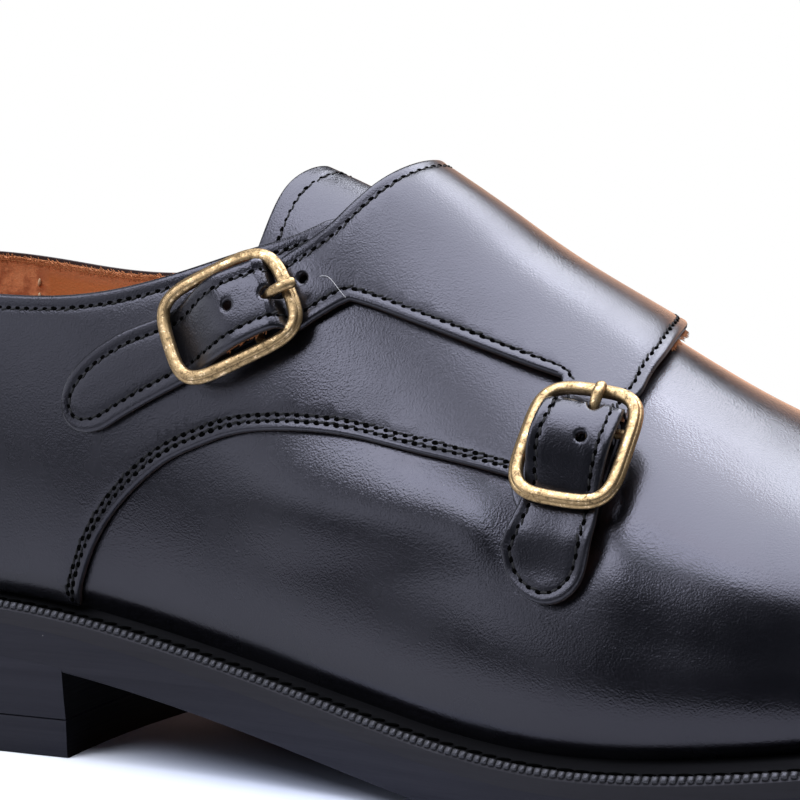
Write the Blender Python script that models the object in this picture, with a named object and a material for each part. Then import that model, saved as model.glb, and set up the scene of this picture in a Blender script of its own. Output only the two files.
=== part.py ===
"""Double monk-strap dress shoe, right foot, about EU 43, standing empty on its sole.

Every piece is worked out from one shoe last. A place on the last is (x, s): x runs forward from
the heel's back, and s is the share of the girth, from -1 at the outer edge of the sole over 0 at
the crest of the instep to 1 at the inner edge. Sizes are in millimetres; the outer (lateral) side
faces -Y, the toe faces +X and the floor is Z = 0.
"""

import math

import bpy
import numpy as np
from mathutils import Vector
from mathutils.geometry import delaunay_2d_cdt

MM = 0.001
ORIGIN = np.array((152.4, -1.1, 0.0))  # below the middle of the whole shoe, where its origin goes

# ---------------------------------------------------------------- driving sizes
LENGTH = 306.0
HEEL_ROUND, HEEL_POWER = 36.0, 2.2
TOE_ROUND, TOE_POWER = 78.0, 2.15
TOE_BOX, TOE_BOX_POWER = 42.0, 2.6  # the toe's rounding in side view
FEATHER_NARROW, FEATHER_HEEL, FEATHER_TOE = 0.88, 4.5, 6.0
GIRTH = 115.0  # mean half girth, which makes s about as long as x when a sheet is meshed

WELT, MIDSOLE, OUTSOLE, JOINT = 2.8, 2.5, 5.8, 0.3
WELT_WIDTH = 8.2
TREAD_FLAT = 0.3  # how far the forefoot's curve is cut away to stand flat
HEEL_BREAST, BREAST_HOLLOW, TOP_PIECE = 75.5, 2.6, 7.6
WALL, LEATHER, STRAP_LEATHER, LAYER_GAP = 2.2, 1.5, 1.6, 0.45
STRAP_OVER_QUARTER = LAYER_GAP + LEATHER + LAYER_GAP
SEAM_HALF_GAP = 0.4
PANEL_DOWN, PANEL_RAMP = 0.03, 0.25  # s where the panel leaves the crest, and its climb from there
INSOLE_ABOVE_SEAT, INSOLE_GAP, INSOLE_STEP = 2.6, 1.2, 2.4

BUCKLE_HALF_LONG, BUCKLE_HALF_WIDE, BUCKLE_POWER = 13.8, 11.0, 4.4
RAIL_RADIUS, RAIL_HEIGHT, RAIL_BOW, RAIL_STEPS = 1.25, 5.85, 0.5, 30
BAR_AT, BAR_HEIGHT, BAR_RADIUS = 4.2, 4.5, 0.9
PRONG_RADIUS, PRONG_TURN, PRONG_SIDE = 0.65, 1.8, -0.9
HUMP_RISE, HUMP_HALF, HUMP_FOOT, HUMP_LEVEL = 5.0, 7.2, 10.2, 5.0
PRONG_HOLE_AT, PRONG_HOLE_LONG, PRONG_HOLE_WIDE = 8.1, 1.6, 1.25
CHAPE_WALL, CHAPE_HALF_WIDE, CHAPE_TAIL, CHAPE_SLOT, CHAPE_EASE = 1.0, 6.2, 9.0, 1.3, 0.3
BACK_STRIP_HALF, BACK_STRIP_TOP, BACK_STRIP_S, BACK_STRIP = 6.0, 97.0, 0.17, 1.1
FOOT_S = 0.994  # where the quarters end above the welt

# plan of the welt: x, centre line y, half width, height of the welt's top
PLAN = (
    (0, 0.0, 33.5, 33.6),
    (20, 0.0, 34.5, 32.9),
    (45, 0.0, 35.2, 31.8),
    (70, -0.8, 34.6, 30.0),
    (100, -3.0, 32.8, 25.0),
    (130, -5.0, 34.4, 19.2),
    (160, -5.3, 40.2, 13.9),
    (188, -4.4, 46.4, 11.7),
    (215, -2.4, 49.6, 13.2),
    (240, 0.6, 49.8, 16.2),
    (268, 3.6, 47.5, 19.8),
    (306, 6.0, 45.0, 24.6),
)
# sections of the last: x, crest y, crest z, outward lean of the outer and inner wall in degrees,
# how far up that lean acts, how wide the outer and inner roof stay before they meet the crest
SECTIONS = (
    (5, 0.0, 152.0, 12, 12, 0.30, 0.72, 0.72),
    (30, 0.0, 152.0, 12, 12, 0.30, 0.72, 0.72),
    (60, 0.0, 149.0, 11, 13, 0.30, 0.72, 0.72),
    (90, 0.5, 139.5, 12, 18, 0.31, 0.66, 0.64),
    (110, 1.2, 130.5, 13, 21, 0.32, 0.60, 0.56),
    (125, 2.0, 123.0, 14, 21, 0.33, 0.56, 0.52),
    (140, 3.0, 114.2, 15, 20, 0.34, 0.52, 0.48),
    (154, 3.8, 105.8, 16, 19, 0.35, 0.50, 0.46),
    (166, 4.4, 98.2, 18, 18, 0.36, 0.50, 0.46),
    (179, 5.0, 90.6, 20, 17, 0.38, 0.50, 0.46),
    (190, 5.4, 84.4, 22, 17, 0.39, 0.52, 0.47),
    (205, 6.0, 76.0, 24, 18, 0.40, 0.54, 0.49),
    (220, 6.5, 69.2, 26, 19, 0.42, 0.57, 0.52),
    (240, 7.0, 61.8, 27, 21, 0.44, 0.60, 0.55),
    (262, 7.0, 56.0, 28, 24, 0.46, 0.62, 0.58),
    (282, 6.5, 52.4, 28, 28, 0.48, 0.64, 0.62),
    (300, 6.0, 50.0, 28, 28, 0.48, 0.64, 0.62),
)
# the heel's back line in side view: height, how far it stands forward
BACK_LINE = (
    (20, 2.5),
    (34, 0.6),
    (50, -2.4),
    (62, -2.8),
    (80, -0.6),
    (98, 4.0),
    (115, 9.0),
    (150, 18.0),
)
# collar: x, height on the outer side, height on the inner side
COLLAR = (
    (0, 97.5, 97.5),
    (20, 95.6, 96.0),
    (40, 92.8, 93.2),
    (60, 91.2, 91.6),
    (72, 91.0, 92.2),
    (84, 92.0, 94.4),
    (95, 94.3, 97.8),
    (105, 97.2, 102.0),
    (115, 100.2, 106.0),
    (124, 103.0, 109.6),
    (129, 105.6, 111.6),
)
THROAT_X, THROAT_TIP, THROAT_SHAPE = 108.0, 165.0, 1.5
# how far the tongue's crest sinks under the last: x, depth
TONGUE_SINK = ((104, 9.8), (120, 8.7), (140, 6.6), (160, 3.8), (178, 1.2), (190, 0.0), (200, 0.0))


# ---------------------------------------------------------------- the last
def spline(rows, column):
    """Natural cubic curve through column of rows against their first column."""
    x = np.array([row[0] for row in rows], float)
    y = np.array([row[column] for row in rows], float)
    n, h = len(x), np.diff(x)
    system, right = np.eye(n), np.zeros(n)
    for i in range(1, n - 1):
        system[i, i - 1 : i + 2] = h[i - 1], 2 * (h[i - 1] + h[i]), h[i]
        right[i] = 6 * ((y[i + 1] - y[i]) / h[i] - (y[i] - y[i - 1]) / h[i - 1])
    bend = np.linalg.solve(system, right)

    def value(at):
        at = np.clip(np.asarray(at, float), x[0], x[-1])
        i = np.clip(np.searchsorted(x, at) - 1, 0, n - 2)
        t = at - x[i]
        slope = (y[i + 1] - y[i]) / h[i] - h[i] * (2 * bend[i] + bend[i + 1]) / 6
        return y[i] + t * slope + t**2 * bend[i] / 2 + t**3 * (bend[i + 1] - bend[i]) / (6 * h[i])

    return value


centre, half_width, seat = (spline(PLAN, column) for column in (1, 2, 3))
section = [spline(SECTIONS, column) for column in range(1, 8)]
back_line = spline(BACK_LINE, 1)
collar_outer, collar_inner = spline(COLLAR, 1), spline(COLLAR, 2)
tongue_sink = spline(TONGUE_SINK, 1)


def smooth(t):
    t = np.clip(t, 0, 1)
    return t * t * (3 - 2 * t)


def end_round(x, start, end):
    """Shares of the full width that the rounded heel and the rounded toe leave at x."""
    heel = np.clip((start + HEEL_ROUND - x) / HEEL_ROUND, 0, 1)
    toe = np.clip((x - end + TOE_ROUND) / TOE_ROUND, 0, 1)
    return (1 - heel**HEEL_POWER) ** 0.5, (1 - toe**TOE_POWER) ** 0.5


FEATHER_START, FEATHER_END = FEATHER_HEEL, LENGTH - FEATHER_TOE


def feather(x):
    """Centre y and half width of the upper's lower edge."""
    heel, toe = end_round(x, FEATHER_START, FEATHER_END)
    on_plan = (x - FEATHER_START) / (FEATHER_END - FEATHER_START) * LENGTH
    return centre(on_plan), half_width(on_plan) * FEATHER_NARROW * heel * toe


def cosine_steps(start, end, count):
    return start + (end - start) * (1 - np.cos(np.linspace(0, math.pi, count))) / 2


ALONG_X = cosine_steps(FEATHER_START, FEATHER_END, 1601)
ALONG_Q = np.concatenate(
    [[0.0], np.cumsum(np.hypot(np.diff(ALONG_X), np.diff(feather(ALONG_X)[1])))]
)
Q_TOE = ALONG_Q[-1]


def q_of(x):
    """Length along the upper's lower edge, from the heel's back to x."""
    return np.interp(x, ALONG_X, ALONG_Q)


def x_of(q):
    return np.interp(q, ALONG_Q, ALONG_X)


def last_point(q, s):
    q, s = np.broadcast_arrays(np.asarray(q, float), np.asarray(s, float))
    s = np.where((q < 0) | (q > Q_TOE), -s, s)
    q = np.abs(q)
    x = x_of(np.where(q > Q_TOE, 2 * Q_TOE - q, q))
    heel, toe = end_round(x, FEATHER_START, FEATHER_END)
    middle, half = feather(x)
    crest_y, crest_z, lean_out, lean_in, lean_share, roof_out, roof_in = (f(x) for f in section)
    on_plan = (x - FEATHER_START) / (FEATHER_END - FEATHER_START) * LENGTH
    foot_z = seat(on_plan) + JOINT
    side = np.where(s > 0, 1.0, -1.0)
    lean = np.radians(np.where(s > 0, lean_in, lean_out))
    roof = np.where(s > 0, roof_in, roof_out)
    box = np.clip((x - FEATHER_END + TOE_BOX) / TOE_BOX, 0, 1)
    height = (crest_z - foot_z) * (1 - box**TOE_BOX_POWER) ** 0.5
    foot_y = middle + side * half
    top_y = middle + (crest_y - middle) * heel * toe
    wall_y = foot_y + side * lean_share * height * np.sin(lean) * heel * toe
    wall_z = foot_z + lean_share * height * np.cos(lean)
    roof_y, top_z = top_y + (foot_y - top_y) * roof, foot_z + height
    u = 1 - np.abs(s)
    a, b, c, d = (1 - u) ** 3, 3 * u * (1 - u) ** 2, 3 * u * u * (1 - u), u**3
    y = a * foot_y + b * wall_y + c * roof_y + d * top_y
    z = a * foot_z + b * wall_z + (c + d) * top_z
    return np.stack([x + back_line(z) * np.clip((70 - x) / 65, 0, 1) ** 1.5, y, z], -1)


def last_slopes(q, s):
    q, s = np.broadcast_arrays(np.asarray(q, float), np.asarray(s, float))
    step_q, step_s = 0.4, 0.004
    low, high = np.clip(s - step_s, -1, 1), np.clip(s + step_s, -1, 1)
    along = (last_point(q + step_q, s) - last_point(q - step_q, s)) / (2 * step_q)
    around = (last_point(q, high) - last_point(q, low)) / (high - low)[..., None]
    return along, around


def last_normal(q, s):
    normal = np.cross(*last_slopes(q, s))
    return normal / np.linalg.norm(normal, axis=-1, keepdims=True)


def lifted(q, s, lift):
    return last_point(q, s) + last_normal(q, s) * np.asarray(lift, float)[..., None]


def s_at(x, z, side):
    """The s at which the last has height z at x, on the outer (-1) or inner (1) side."""
    low, high = np.zeros(np.shape(x)), np.ones(np.shape(x))
    for _ in range(40):
        mid = (low + high) / 2
        above = last_point(q_of(x), side * mid)[..., 2] > z
        low, high = np.where(above, mid, low), np.where(above, high, mid)
    return side * (low + high) / 2


# ---------------------------------------------------------------- meshes and materials
def material(name, colour, roughness, metallic=0.0):
    made = bpy.data.materials.new(name)
    made.use_nodes = True
    shader = made.node_tree.nodes["Principled BSDF"]
    shader.inputs["Base Color"].default_value = (*colour, 1.0)
    shader.inputs["Roughness"].default_value = roughness
    shader.inputs["Metallic"].default_value = metallic
    return made


def add_object(name, points, faces, finish):
    mesh = bpy.data.meshes.new(name)
    mesh.from_pydata(((np.asarray(points) - ORIGIN) * MM).tolist(), [], faces)
    mesh.validate()
    mesh.materials.append(finish)
    mesh.shade_smooth()
    mesh.set_sharp_from_angle(angle=math.radians(40))
    made = bpy.data.objects.new(name, mesh)
    bpy.context.scene.collection.objects.link(made)
    return made


def boolean(target, tool, operation):
    """Applies the tool to the target and removes it."""
    tool.hide_render = True
    tool.display_type = "WIRE"
    step = target.modifiers.new(operation.title(), "BOOLEAN")
    step.operation = operation
    step.object = tool
    graph = bpy.context.evaluated_depsgraph_get()
    made = bpy.data.meshes.new_from_object(target.evaluated_get(graph))
    target.modifiers.clear()
    target.data = made
    bpy.data.objects.remove(tool)


def inside(points, loop):
    """Even-odd test of points against a closed loop."""
    found = np.zeros(len(points), bool)
    for (ax, ay), (bx, by) in zip(loop, np.roll(loop, -1, axis=0)):
        crosses = (ay > points[:, 1]) != (by > points[:, 1])
        rise = by - ay if by != ay else 1.0
        found ^= crosses & (points[:, 0] < ax + (points[:, 1] - ay) / rise * (bx - ax))
    return found


def nearest(points, others):
    return np.sqrt(((points[:, None] - others[None]) ** 2).sum(-1)).min(1)


def sheet(name, loops, extra, place, finish, step):
    """A closed sheet: loops are (q, s) outlines, the first one outside and the rest holes, extra
    holds more (q, s) points that its mesh needs, and place(q, s) gives its outer and inner face."""
    flat = [np.asarray(loop, float) * (1, GIRTH) for loop in loops]
    edge = np.concatenate(flat)
    low, high = flat[0].min(0), flat[0].max(0)
    columns = enumerate(np.arange(low[0], high[0], step))
    up = np.arange(low[1], high[1], step)
    grid = np.array([(q, g + (i % 2) * step / 2) for i, q in columns for g in up])
    if len(extra):
        extra = np.asarray(extra, float) * (1, GIRTH)
        extra = extra[nearest(extra, edge) > 0.9]
        grid = np.concatenate([extra, grid[nearest(grid, extra) > 0.7 * step]])
        clear = np.where(np.arange(len(grid)) < len(extra), 0.9, 0.55 * step)
    else:
        clear = np.full(len(grid), 0.55 * step)
    keep = inside(grid, flat[0]) & (nearest(grid, edge) > clear)
    for hole in flat[1:]:
        keep &= ~inside(grid, hole)
    points = [Vector(p) for p in np.concatenate([edge, grid[keep]])]
    starts = np.cumsum([0] + [len(loop) for loop in flat])
    edges = [
        (start + i, start + (i + 1) % len(loop))
        for start, loop in zip(starts, flat)
        for i in range(len(loop))
    ]
    found, _, triangles, *_ = delaunay_2d_cdt(points, edges, [], 0, 1e-6)
    found = np.array([tuple(p) for p in found])
    middle = found[np.array(triangles)].mean(1)
    solid = inside(middle, flat[0])
    for hole in flat[1:]:
        solid &= ~inside(middle, hole)
    triangles = [triangle for triangle, kept in zip(triangles, solid) if kept]
    outer, inner = place(found[:, 0], found[:, 1] / GIRTH)
    count = len(found)
    faces = [tuple(t) for t in triangles] + [tuple(count + i for i in reversed(t)) for t in triangles]
    sides = {(t[i], t[(i + 1) % 3]) for t in triangles for i in range(3)}
    faces += [(b, a, count + a, count + b) for a, b in sides if (b, a) not in sides]
    return add_object(name, np.concatenate([outer, inner]), faces, finish)


def through(rows, step):
    """Points about step apart on a smooth open curve through rows of (x, s), as (q, s)."""
    flat = np.array([(q_of(x), s * GIRTH) for x, s in rows])
    at = np.concatenate([[0.0], np.cumsum(np.hypot(*np.diff(flat, axis=0).T))])
    count = max(2, int(round(at[-1] / step)) + 1)
    table = [(t, *p) for t, p in zip(at, flat)]
    fresh = np.linspace(0, at[-1], count)
    q, g = spline(table, 1)(fresh), spline(table, 2)(fresh)
    return np.stack([q, g / GIRTH], -1)


def joined(*parts):
    """One closed loop of the parts, without the points where one part repeats another's end."""
    loop = []
    for part in parts:
        for p in part:
            if not loop or abs(p[0] - loop[-1][0]) + GIRTH * abs(p[1] - loop[-1][1]) > 0.3:
                loop.append(tuple(p))
    while abs(loop[0][0] - loop[-1][0]) + GIRTH * abs(loop[0][1] - loop[-1][1]) <= 0.3:
        loop.pop()
    return np.array(loop)


# ---------------------------------------------------------------- sole
def welt_edge(x, inset):
    """Outer and inner points of the sole's outline at stations x, moved inwards by inset."""
    heel, toe = end_round(x, 0, LENGTH)
    half = half_width(x) * heel * toe
    loop = np.concatenate(
        [np.stack([x, centre(x) - half], -1), np.stack([x, centre(x) + half], -1)[-2:0:-1]]
    )
    ahead = np.roll(loop, -1, axis=0) - np.roll(loop, 1, axis=0)
    ahead /= np.linalg.norm(ahead, axis=-1, keepdims=True)
    loop = loop + inset * np.stack([-ahead[:, 1], ahead[:, 0]], -1)
    outer = loop[: len(x)]
    inner = np.concatenate([loop[:1], loop[: len(x) - 1 : -1], loop[len(x) - 1 : len(x)]])
    return outer, inner


STATIONS = cosine_steps(0, LENGTH, 49)
# the welt's section: inset from the sole's edge, height from the welt's top
WELT_RINGS = ((WELT_WIDTH, 0.0), (0.8, 0.0), (0.0, -1.1), (0.0, -WELT), (WELT_WIDTH, -WELT))


def ends_at(x, limit):
    """Stations up to limit, with limit itself as the last one."""
    kept = x[x < limit - 2.0]
    return np.append(kept, limit)


def layer(name, stations, rings, finish, breast=0.0, columns=2):
    """A layer of the sole. rings run from its top face down its side to its bottom face, each an
    inset and a function of x for its height. With breast it ends in a face that is hollow by it."""
    share = np.linspace(-1, 1, columns + 1)
    reach = (stations / stations[-1]) ** 4
    whole = np.concatenate([stations, STATIONS[STATIONS > stations[-1] + 2.0]])

    def grid(inset, height):
        outer, inner = (side[: len(stations)] for side in welt_edge(whole, inset))
        mix = (share + 1)[None, :, None] / 2
        plan = outer[:, None] * (1 - mix) + inner[:, None] * mix
        plan[..., 0] -= breast * (1 - share**2)[None] * reach[:, None]
        return np.concatenate([plan, height(plan[..., 0])[..., None]], -1)

    grids = [grid(inset, height) for inset, height in rings]
    rows = len(stations)
    points, index = [], []
    for level, g in enumerate(grids):
        numbers = -np.ones((rows, columns + 1), int)
        for i in range(rows):
            pole = i == 0 or (i == rows - 1 and not breast)
            for j in range(columns + 1):
                rim = j in (0, columns) or i in (0, rows - 1)
                if not rim and level not in (0, len(grids) - 1):
                    continue
                if pole and j > 0:
                    numbers[i, j] = numbers[i, 0]
                    continue
                numbers[i, j] = len(points)
                points.append(g[i, j])
        index.append(numbers)
    faces = []
    for i in range(rows - 1):
        for j in range(columns):
            top, low = index[0], index[-1]
            faces.append((top[i, j], top[i + 1, j], top[i + 1, j + 1], top[i, j + 1]))
            faces.append((low[i, j], low[i, j + 1], low[i + 1, j + 1], low[i + 1, j]))
        for above, below in zip(index, index[1:]):
            faces.append((above[i, 0], below[i, 0], below[i + 1, 0], above[i + 1, 0]))
            faces.append((above[i + 1, -1], below[i + 1, -1], below[i, -1], above[i, -1]))
    if breast:
        for j in range(columns):
            for above, below in zip(index, index[1:]):
                faces.append((above[-1, j], below[-1, j], below[-1, j + 1], above[-1, j + 1]))
    faces = [tuple(dict.fromkeys(int(i) for i in face)) for face in faces]
    return add_object(name, points, [face for face in faces if len(face) > 2], finish)


def below(depth):
    return lambda x: seat(x) - depth


def tread(x):
    return np.maximum(seat(x) - (WELT + MIDSOLE + OUTSOLE + 2 * JOINT + TREAD_FLAT), 0.0)


def flat_at(z):
    return lambda x: np.full(np.shape(x), float(z))


def make_welt(finish):
    """A strip round the edge of the sole, with a bevelled top edge."""
    points = []
    for inset, drop in WELT_RINGS:
        outer, inner = welt_edge(STATIONS, inset)
        loop = np.concatenate([outer, inner[-2:0:-1]])
        points.append(np.concatenate([loop, (seat(loop[:, 0]) + drop)[:, None]], -1))
    count, levels = len(points[0]), len(WELT_RINGS)
    faces = [
        (
            level * count + i,
            (level + 1) % levels * count + i,
            (level + 1) % levels * count + (i + 1) % count,
            level * count + (i + 1) % count,
        )
        for level in range(levels)
        for i in range(count)
    ]
    add_object("welt", np.concatenate(points), faces, finish)


def make_sole(rubber, stack, edge):
    make_welt(edge)
    top = WELT + JOINT
    layer("midsole", STATIONS, ((0.1, below(top)), (0.1, below(top + MIDSOLE))), edge)
    top += MIDSOLE + JOINT
    layer(
        "outsole",
        STATIONS,
        ((0.4, below(top)), (0.3, tread)),
        rubber,
    )
    heel = ends_at(STATIONS, HEEL_BREAST)
    layer(
        "heel_stack",
        heel,
        ((0.9, lambda x: tread(x) - JOINT), (1.3, flat_at(TOP_PIECE + JOINT))),
        stack,
        BREAST_HOLLOW,
        4,
    )
    layer(
        "top_piece",
        heel,
        ((1.3, flat_at(TOP_PIECE)), (1.5, flat_at(0))),
        rubber,
        BREAST_HOLLOW,
        4,
    )


def make_insole(finish):
    """The insole with its fill, which reaches down inside the welt."""
    x = cosine_steps(FEATHER_START, FEATHER_END, 35)
    middle, half = feather(x)
    loop = np.concatenate(
        [np.stack([x, middle - half], -1), np.stack([x, middle + half], -1)[-2:0:-1]]
    )
    ahead = np.roll(loop, -1, axis=0) - np.roll(loop, 1, axis=0)
    ahead /= np.linalg.norm(ahead, axis=-1, keepdims=True)
    inward = np.stack([-ahead[:, 1], ahead[:, 0]], -1)
    count = len(loop)
    edge, step = WALL + INSOLE_GAP, WALL + INSOLE_GAP + INSOLE_STEP
    rings = ((edge, INSOLE_ABOVE_SEAT), (edge, JOINT), (step, JOINT), (step, -WELT))
    points = []
    for inset, height in rings:
        ring = loop + inset * inward
        points.append(np.concatenate([ring, (seat(ring[:, 0]) + height)[:, None]], -1))
    last = len(rings) - 1
    faces = [
        (level * count + i, (level + 1) * count + i, (level + 1) * count + j, level * count + j)
        for level in range(last)
        for i, j in zip(range(count), np.roll(range(count), -1).tolist())
    ]
    for base, turn in ((0, 1), (last * count, -1)):
        for i in range(len(x) - 1):
            strip = (i, i + 1, (count - i - 1) % count, (count - i) % count)
            strip = list(dict.fromkeys(base + number for number in strip))
            faces.append(tuple(strip[::turn]))
    add_object("insole", np.concatenate(points), faces, finish)


# ---------------------------------------------------------------- upper
SIDE_STEPS, THROAT_STEPS, REAR_ROWS, FRONT_ROWS = 7, 7, 14, 22
COLLAR_DROP = 0.8  # how far the upper's wall ends below the quarters' collar
TOE_CROWDING = 1.4  # how much closer the rows lie at the toe


def upper_rows():
    """(q, s) rows over the last: at the rear two runs that end at the collar, and from THROAT_X on
    whole sections, the first of which is the throat's edge."""

    def collar_s(x):
        return (
            float(s_at(x, collar_outer(x) - COLLAR_DROP, -1)),
            float(s_at(x, collar_inner(x) - COLLAR_DROP, 1)),
        )

    share = np.linspace(0, 1, SIDE_STEPS + 1)
    rows = []
    for q in np.linspace(0, q_of(THROAT_X), REAR_ROWS)[:-1]:
        out, into = collar_s(float(x_of(q)))
        sides = np.concatenate([-1 + (out + 1) * share, 1 + (into - 1) * share[::-1]])
        rows.append([(q, s) for s in sides])
    out, into = collar_s(THROAT_X)
    throat = np.linspace(out, into, THROAT_STEPS + 1)[1:-1]
    across = np.concatenate([-1 + (out + 1) * share, throat, 1 + (into - 1) * share[::-1]])
    even = np.linspace(-1, 1, len(across))
    reach = np.clip(np.where(across < 0, across / out, across / into), 0, 1)
    start = q_of(THROAT_X + (THROAT_TIP - THROAT_X) * (1 - reach**THROAT_SHAPE))
    end = Q_TOE - 0.35
    for t in np.linspace(0, 1, FRONT_ROWS):
        forward = 1 - (1 - t) ** TOE_CROWDING
        spread = smooth(t * 1.6)
        q = start * (1 - forward) + end * forward
        rows.append(list(zip(q, across * (1 - spread) + even * spread)))
    return rows


def make_upper(finish):
    """The vamp and lining as one hollow wall, open at the collar and throat and underneath."""
    rows = upper_rows()
    first = REAR_ROWS - 1
    points, outer, inner = [], [], []
    for numbers, lift in ((outer, 0.0), (inner, -WALL)):
        for i, row in enumerate(rows):
            q, s = np.array(row).T
            line = []
            for j, p in enumerate(lifted(q, s, np.full(len(q), lift))):
                if i == 0 and j > SIDE_STEPS:  # the heel's back, which both runs share
                    line.append(line[len(row) - 1 - j])
                    continue
                line.append(len(points))
                points.append(p)
            numbers.append(line)
        numbers.append([len(points)] * len(rows[-1]))
        points.append(last_point(Q_TOE, -1.0) + (lift, 0, 0))
    skipped = len(outer[first]) - len(outer[0])  # the throat's points, which the rear rows lack
    faces = []
    for i in range(len(rows)):
        for j in range(len(outer[i]) - 1):
            if i < first and j == SIDE_STEPS:
                continue
            k = j + skipped if i == first - 1 and j > SIDE_STEPS else j
            for lines, turn in ((outer, 1), (inner, -1)):
                face = (lines[i][j], lines[i + 1][k], lines[i + 1][k + 1], lines[i][j + 1])
                face = list(dict.fromkeys(face))
                if len(face) > 2:
                    faces.append(tuple(face[::turn]))
    pair = {o: n for lines in zip(outer, inner) for o, n in zip(*lines)}
    sides = {
        (face[i], face[(i + 1) % len(face)])
        for face in faces
        if face[0] in pair
        for i in range(len(face))
    }
    faces += [(b, a, pair[a], pair[b]) for a, b in sides if (b, a) not in sides]
    add_object("upper", points, faces, finish)


# the tongue's outline from x, s: its sides, its front end under the vamp and its rough top edge
TONGUE_OUTER = ((184, -0.28), (165, -0.35), (145, -0.41), (125, -0.46), (106, -0.47))
TONGUE_FRONT = ((184, 0.28), (187, 0.1), (187, -0.1), (184, -0.28))
TONGUE_INNER = ((106, 0.45), (125, 0.44), (150, 0.38), (170, 0.33), (184, 0.28))
TONGUE_TOP = (
    (106, -0.47),
    (109, -0.41),
    (112, -0.34),
    (115, -0.25),
    (117.5, -0.13),
    (118.5, 0.0),
    (118, 0.12),
    (115.5, 0.23),
    (112, 0.32),
    (109, 0.39),
    (106, 0.45),
)
TONGUE_SINK_S = 0.62  # s at which the tongue no longer sinks
TONGUE_STEP = 8.0


def make_tongue(finish):
    """The tongue, which lies under the vamp and sinks away from the strap panel at its top."""
    runs = (TONGUE_OUTER, TONGUE_FRONT, TONGUE_INNER, TONGUE_TOP)
    loop = joined(*(through(rows, TONGUE_STEP)[::-1] for rows in runs))

    def place(q, s):
        x = x_of(q)
        sink = tongue_sink(x) * np.cos(np.pi / 2 * np.clip(np.abs(s) / TONGUE_SINK_S, 0, 1))
        normal = last_normal(q, s)
        top = last_point(q, s) - normal * (WALL + LAYER_GAP) - sink[:, None] * (0, 0, 1)
        return top, top - normal * STRAP_LEATHER

    sheet("tongue", [loop], [], place, finish, TONGUE_STEP)


# ---------------------------------------------------------------- buckle places
class Place:
    """A flat frame on the last: t runs along the strap towards its root, b across it, n outwards."""

    def __init__(self, middle, tipward, rootward, frame_t, frame_b):
        """Three (x, s) places along the strap, and where the buckle's middle sits from the first."""
        self.frame_t, self.frame_b = frame_t, frame_b
        self.q, self.s = float(q_of(middle[0])), middle[1]
        self.centre = last_point(self.q, self.s)
        self.n = last_normal(self.q, self.s)
        run = last_point(q_of(rootward[0]), rootward[1]) - last_point(q_of(tipward[0]), tipward[1])
        run = run - self.n * (run @ self.n)
        self.t = run / np.linalg.norm(run)
        self.b = np.cross(self.n, self.t)

    def at(self, t, b, height):
        t, b, height = np.broadcast_arrays(*(np.asarray(v, float)[..., None] for v in (t, b, height)))
        return self.centre + t * self.t + b * self.b + height * self.n

    def local(self, points):
        rest = points - self.centre
        return rest @ self.t, rest @ self.b, rest @ self.n

    def on_last(self, t, b, lift=3.2):
        """(q, s) of the points of the lifted last that stand over t, b."""
        t, b = np.broadcast_arrays(np.asarray(t, float), np.asarray(b, float))
        q, s = np.full(t.shape, self.q), np.full(t.shape, self.s)
        for _ in range(25):
            now_t, now_b, _ = self.local(lifted(q, s, np.full(q.shape, lift)))
            along, around = last_slopes(q, s)
            m = along @ self.t, around @ self.t, along @ self.b, around @ self.b
            det = m[0] * m[3] - m[1] * m[2]
            miss_t, miss_b = t - now_t, b - now_b
            q = q + 0.7 * (miss_t * m[3] - miss_b * m[1]) / det
            s = np.clip(s + 0.7 * (miss_b * m[0] - miss_t * m[2]) / det, -0.99, 0.6)
        return np.stack([q, s], -1)


REAR = Place((113.8, -0.507), (99.5, -0.6), (128.0, -0.425), -0.4, -0.5)
FRONT = Place((186.8, -0.452), (186.5, -0.56), (187.3, -0.33), 0.4, 0.1)

# edges of the straps over their buckle's frame: t, b of the upper or rear edge, b of the other one
REAR_STRAP = (
    (14.5, 7.2, -5.5),
    (11.5, 6.4, -6.8),
    (8.0, 6.4, -7.5),
    (3.0, 6.9, -7.8),
    (-3.0, 7.0, -7.8),
    (-9.0, 6.2, -7.7),
    (-16.0, 6.5, -7.7),
    (-24.0, 7.2, -7.7),
    (-30.0, 6.7, -7.9),
)
FRONT_STRAP = (
    (14.4, 5.9, -6.2),
    (11.8, 6.7, -6.8),
    (8.0, 7.3, -7.3),
    (3.0, 7.7, -7.7),
    (-3.0, 7.7, -7.7),
    (-8.5, 7.0, -7.2),
    (-13.0, 7.6, -7.4),
    (-19.5, 9.2, -7.4),
)
# the straps' rounded ends: t, b
REAR_TIP = (
    (-30.0, 6.7),
    (-36.0, 4.9),
    (-40.0, 1.6),
    (-41.4, -2.2),
    (-40.0, -5.8),
    (-36.0, -7.9),
    (-30.0, -7.9),
)
FRONT_TIP = (
    (-19.5, 9.2),
    (-24.0, 7.2),
    (-27.2, 3.2),
    (-28.3, -0.2),
    (-27.6, -3.6),
    (-25.0, -6.2),
    (-19.5, -7.4),
)
# where the straps have rows of points along and across them, close together at their hump's foot
HUMP_ROWS = (12.4, 11.2, 10.2, 9.2, 8.2, 7.2, 4.5, 1.0)
STRAP_ROWS = HUMP_ROWS + (-3.0, -7.2, -8.2, -9.2, -10.2, -11.4, -14.5, -19.0, -24.0, -29.0, -34.0)
STRAP_COLUMNS = (-6.0, -2.9, 0.0, 2.9, 6.0)
TIP_DOWN, TIP_RAMP = -16.0, 8.0  # t where the front strap starts down to the vamp, and its length


def hump(place, points):
    """How far the strap rises over the bar of its buckle, from 0 to 1."""
    t, b, height = place.local(points)
    near = (np.abs(b) < 13) & (np.abs(height) < 14)
    return np.where(near, smooth((HUMP_FOOT - np.abs(t)) / (HUMP_FOOT - HUMP_HALF)), 0.0)


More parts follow.
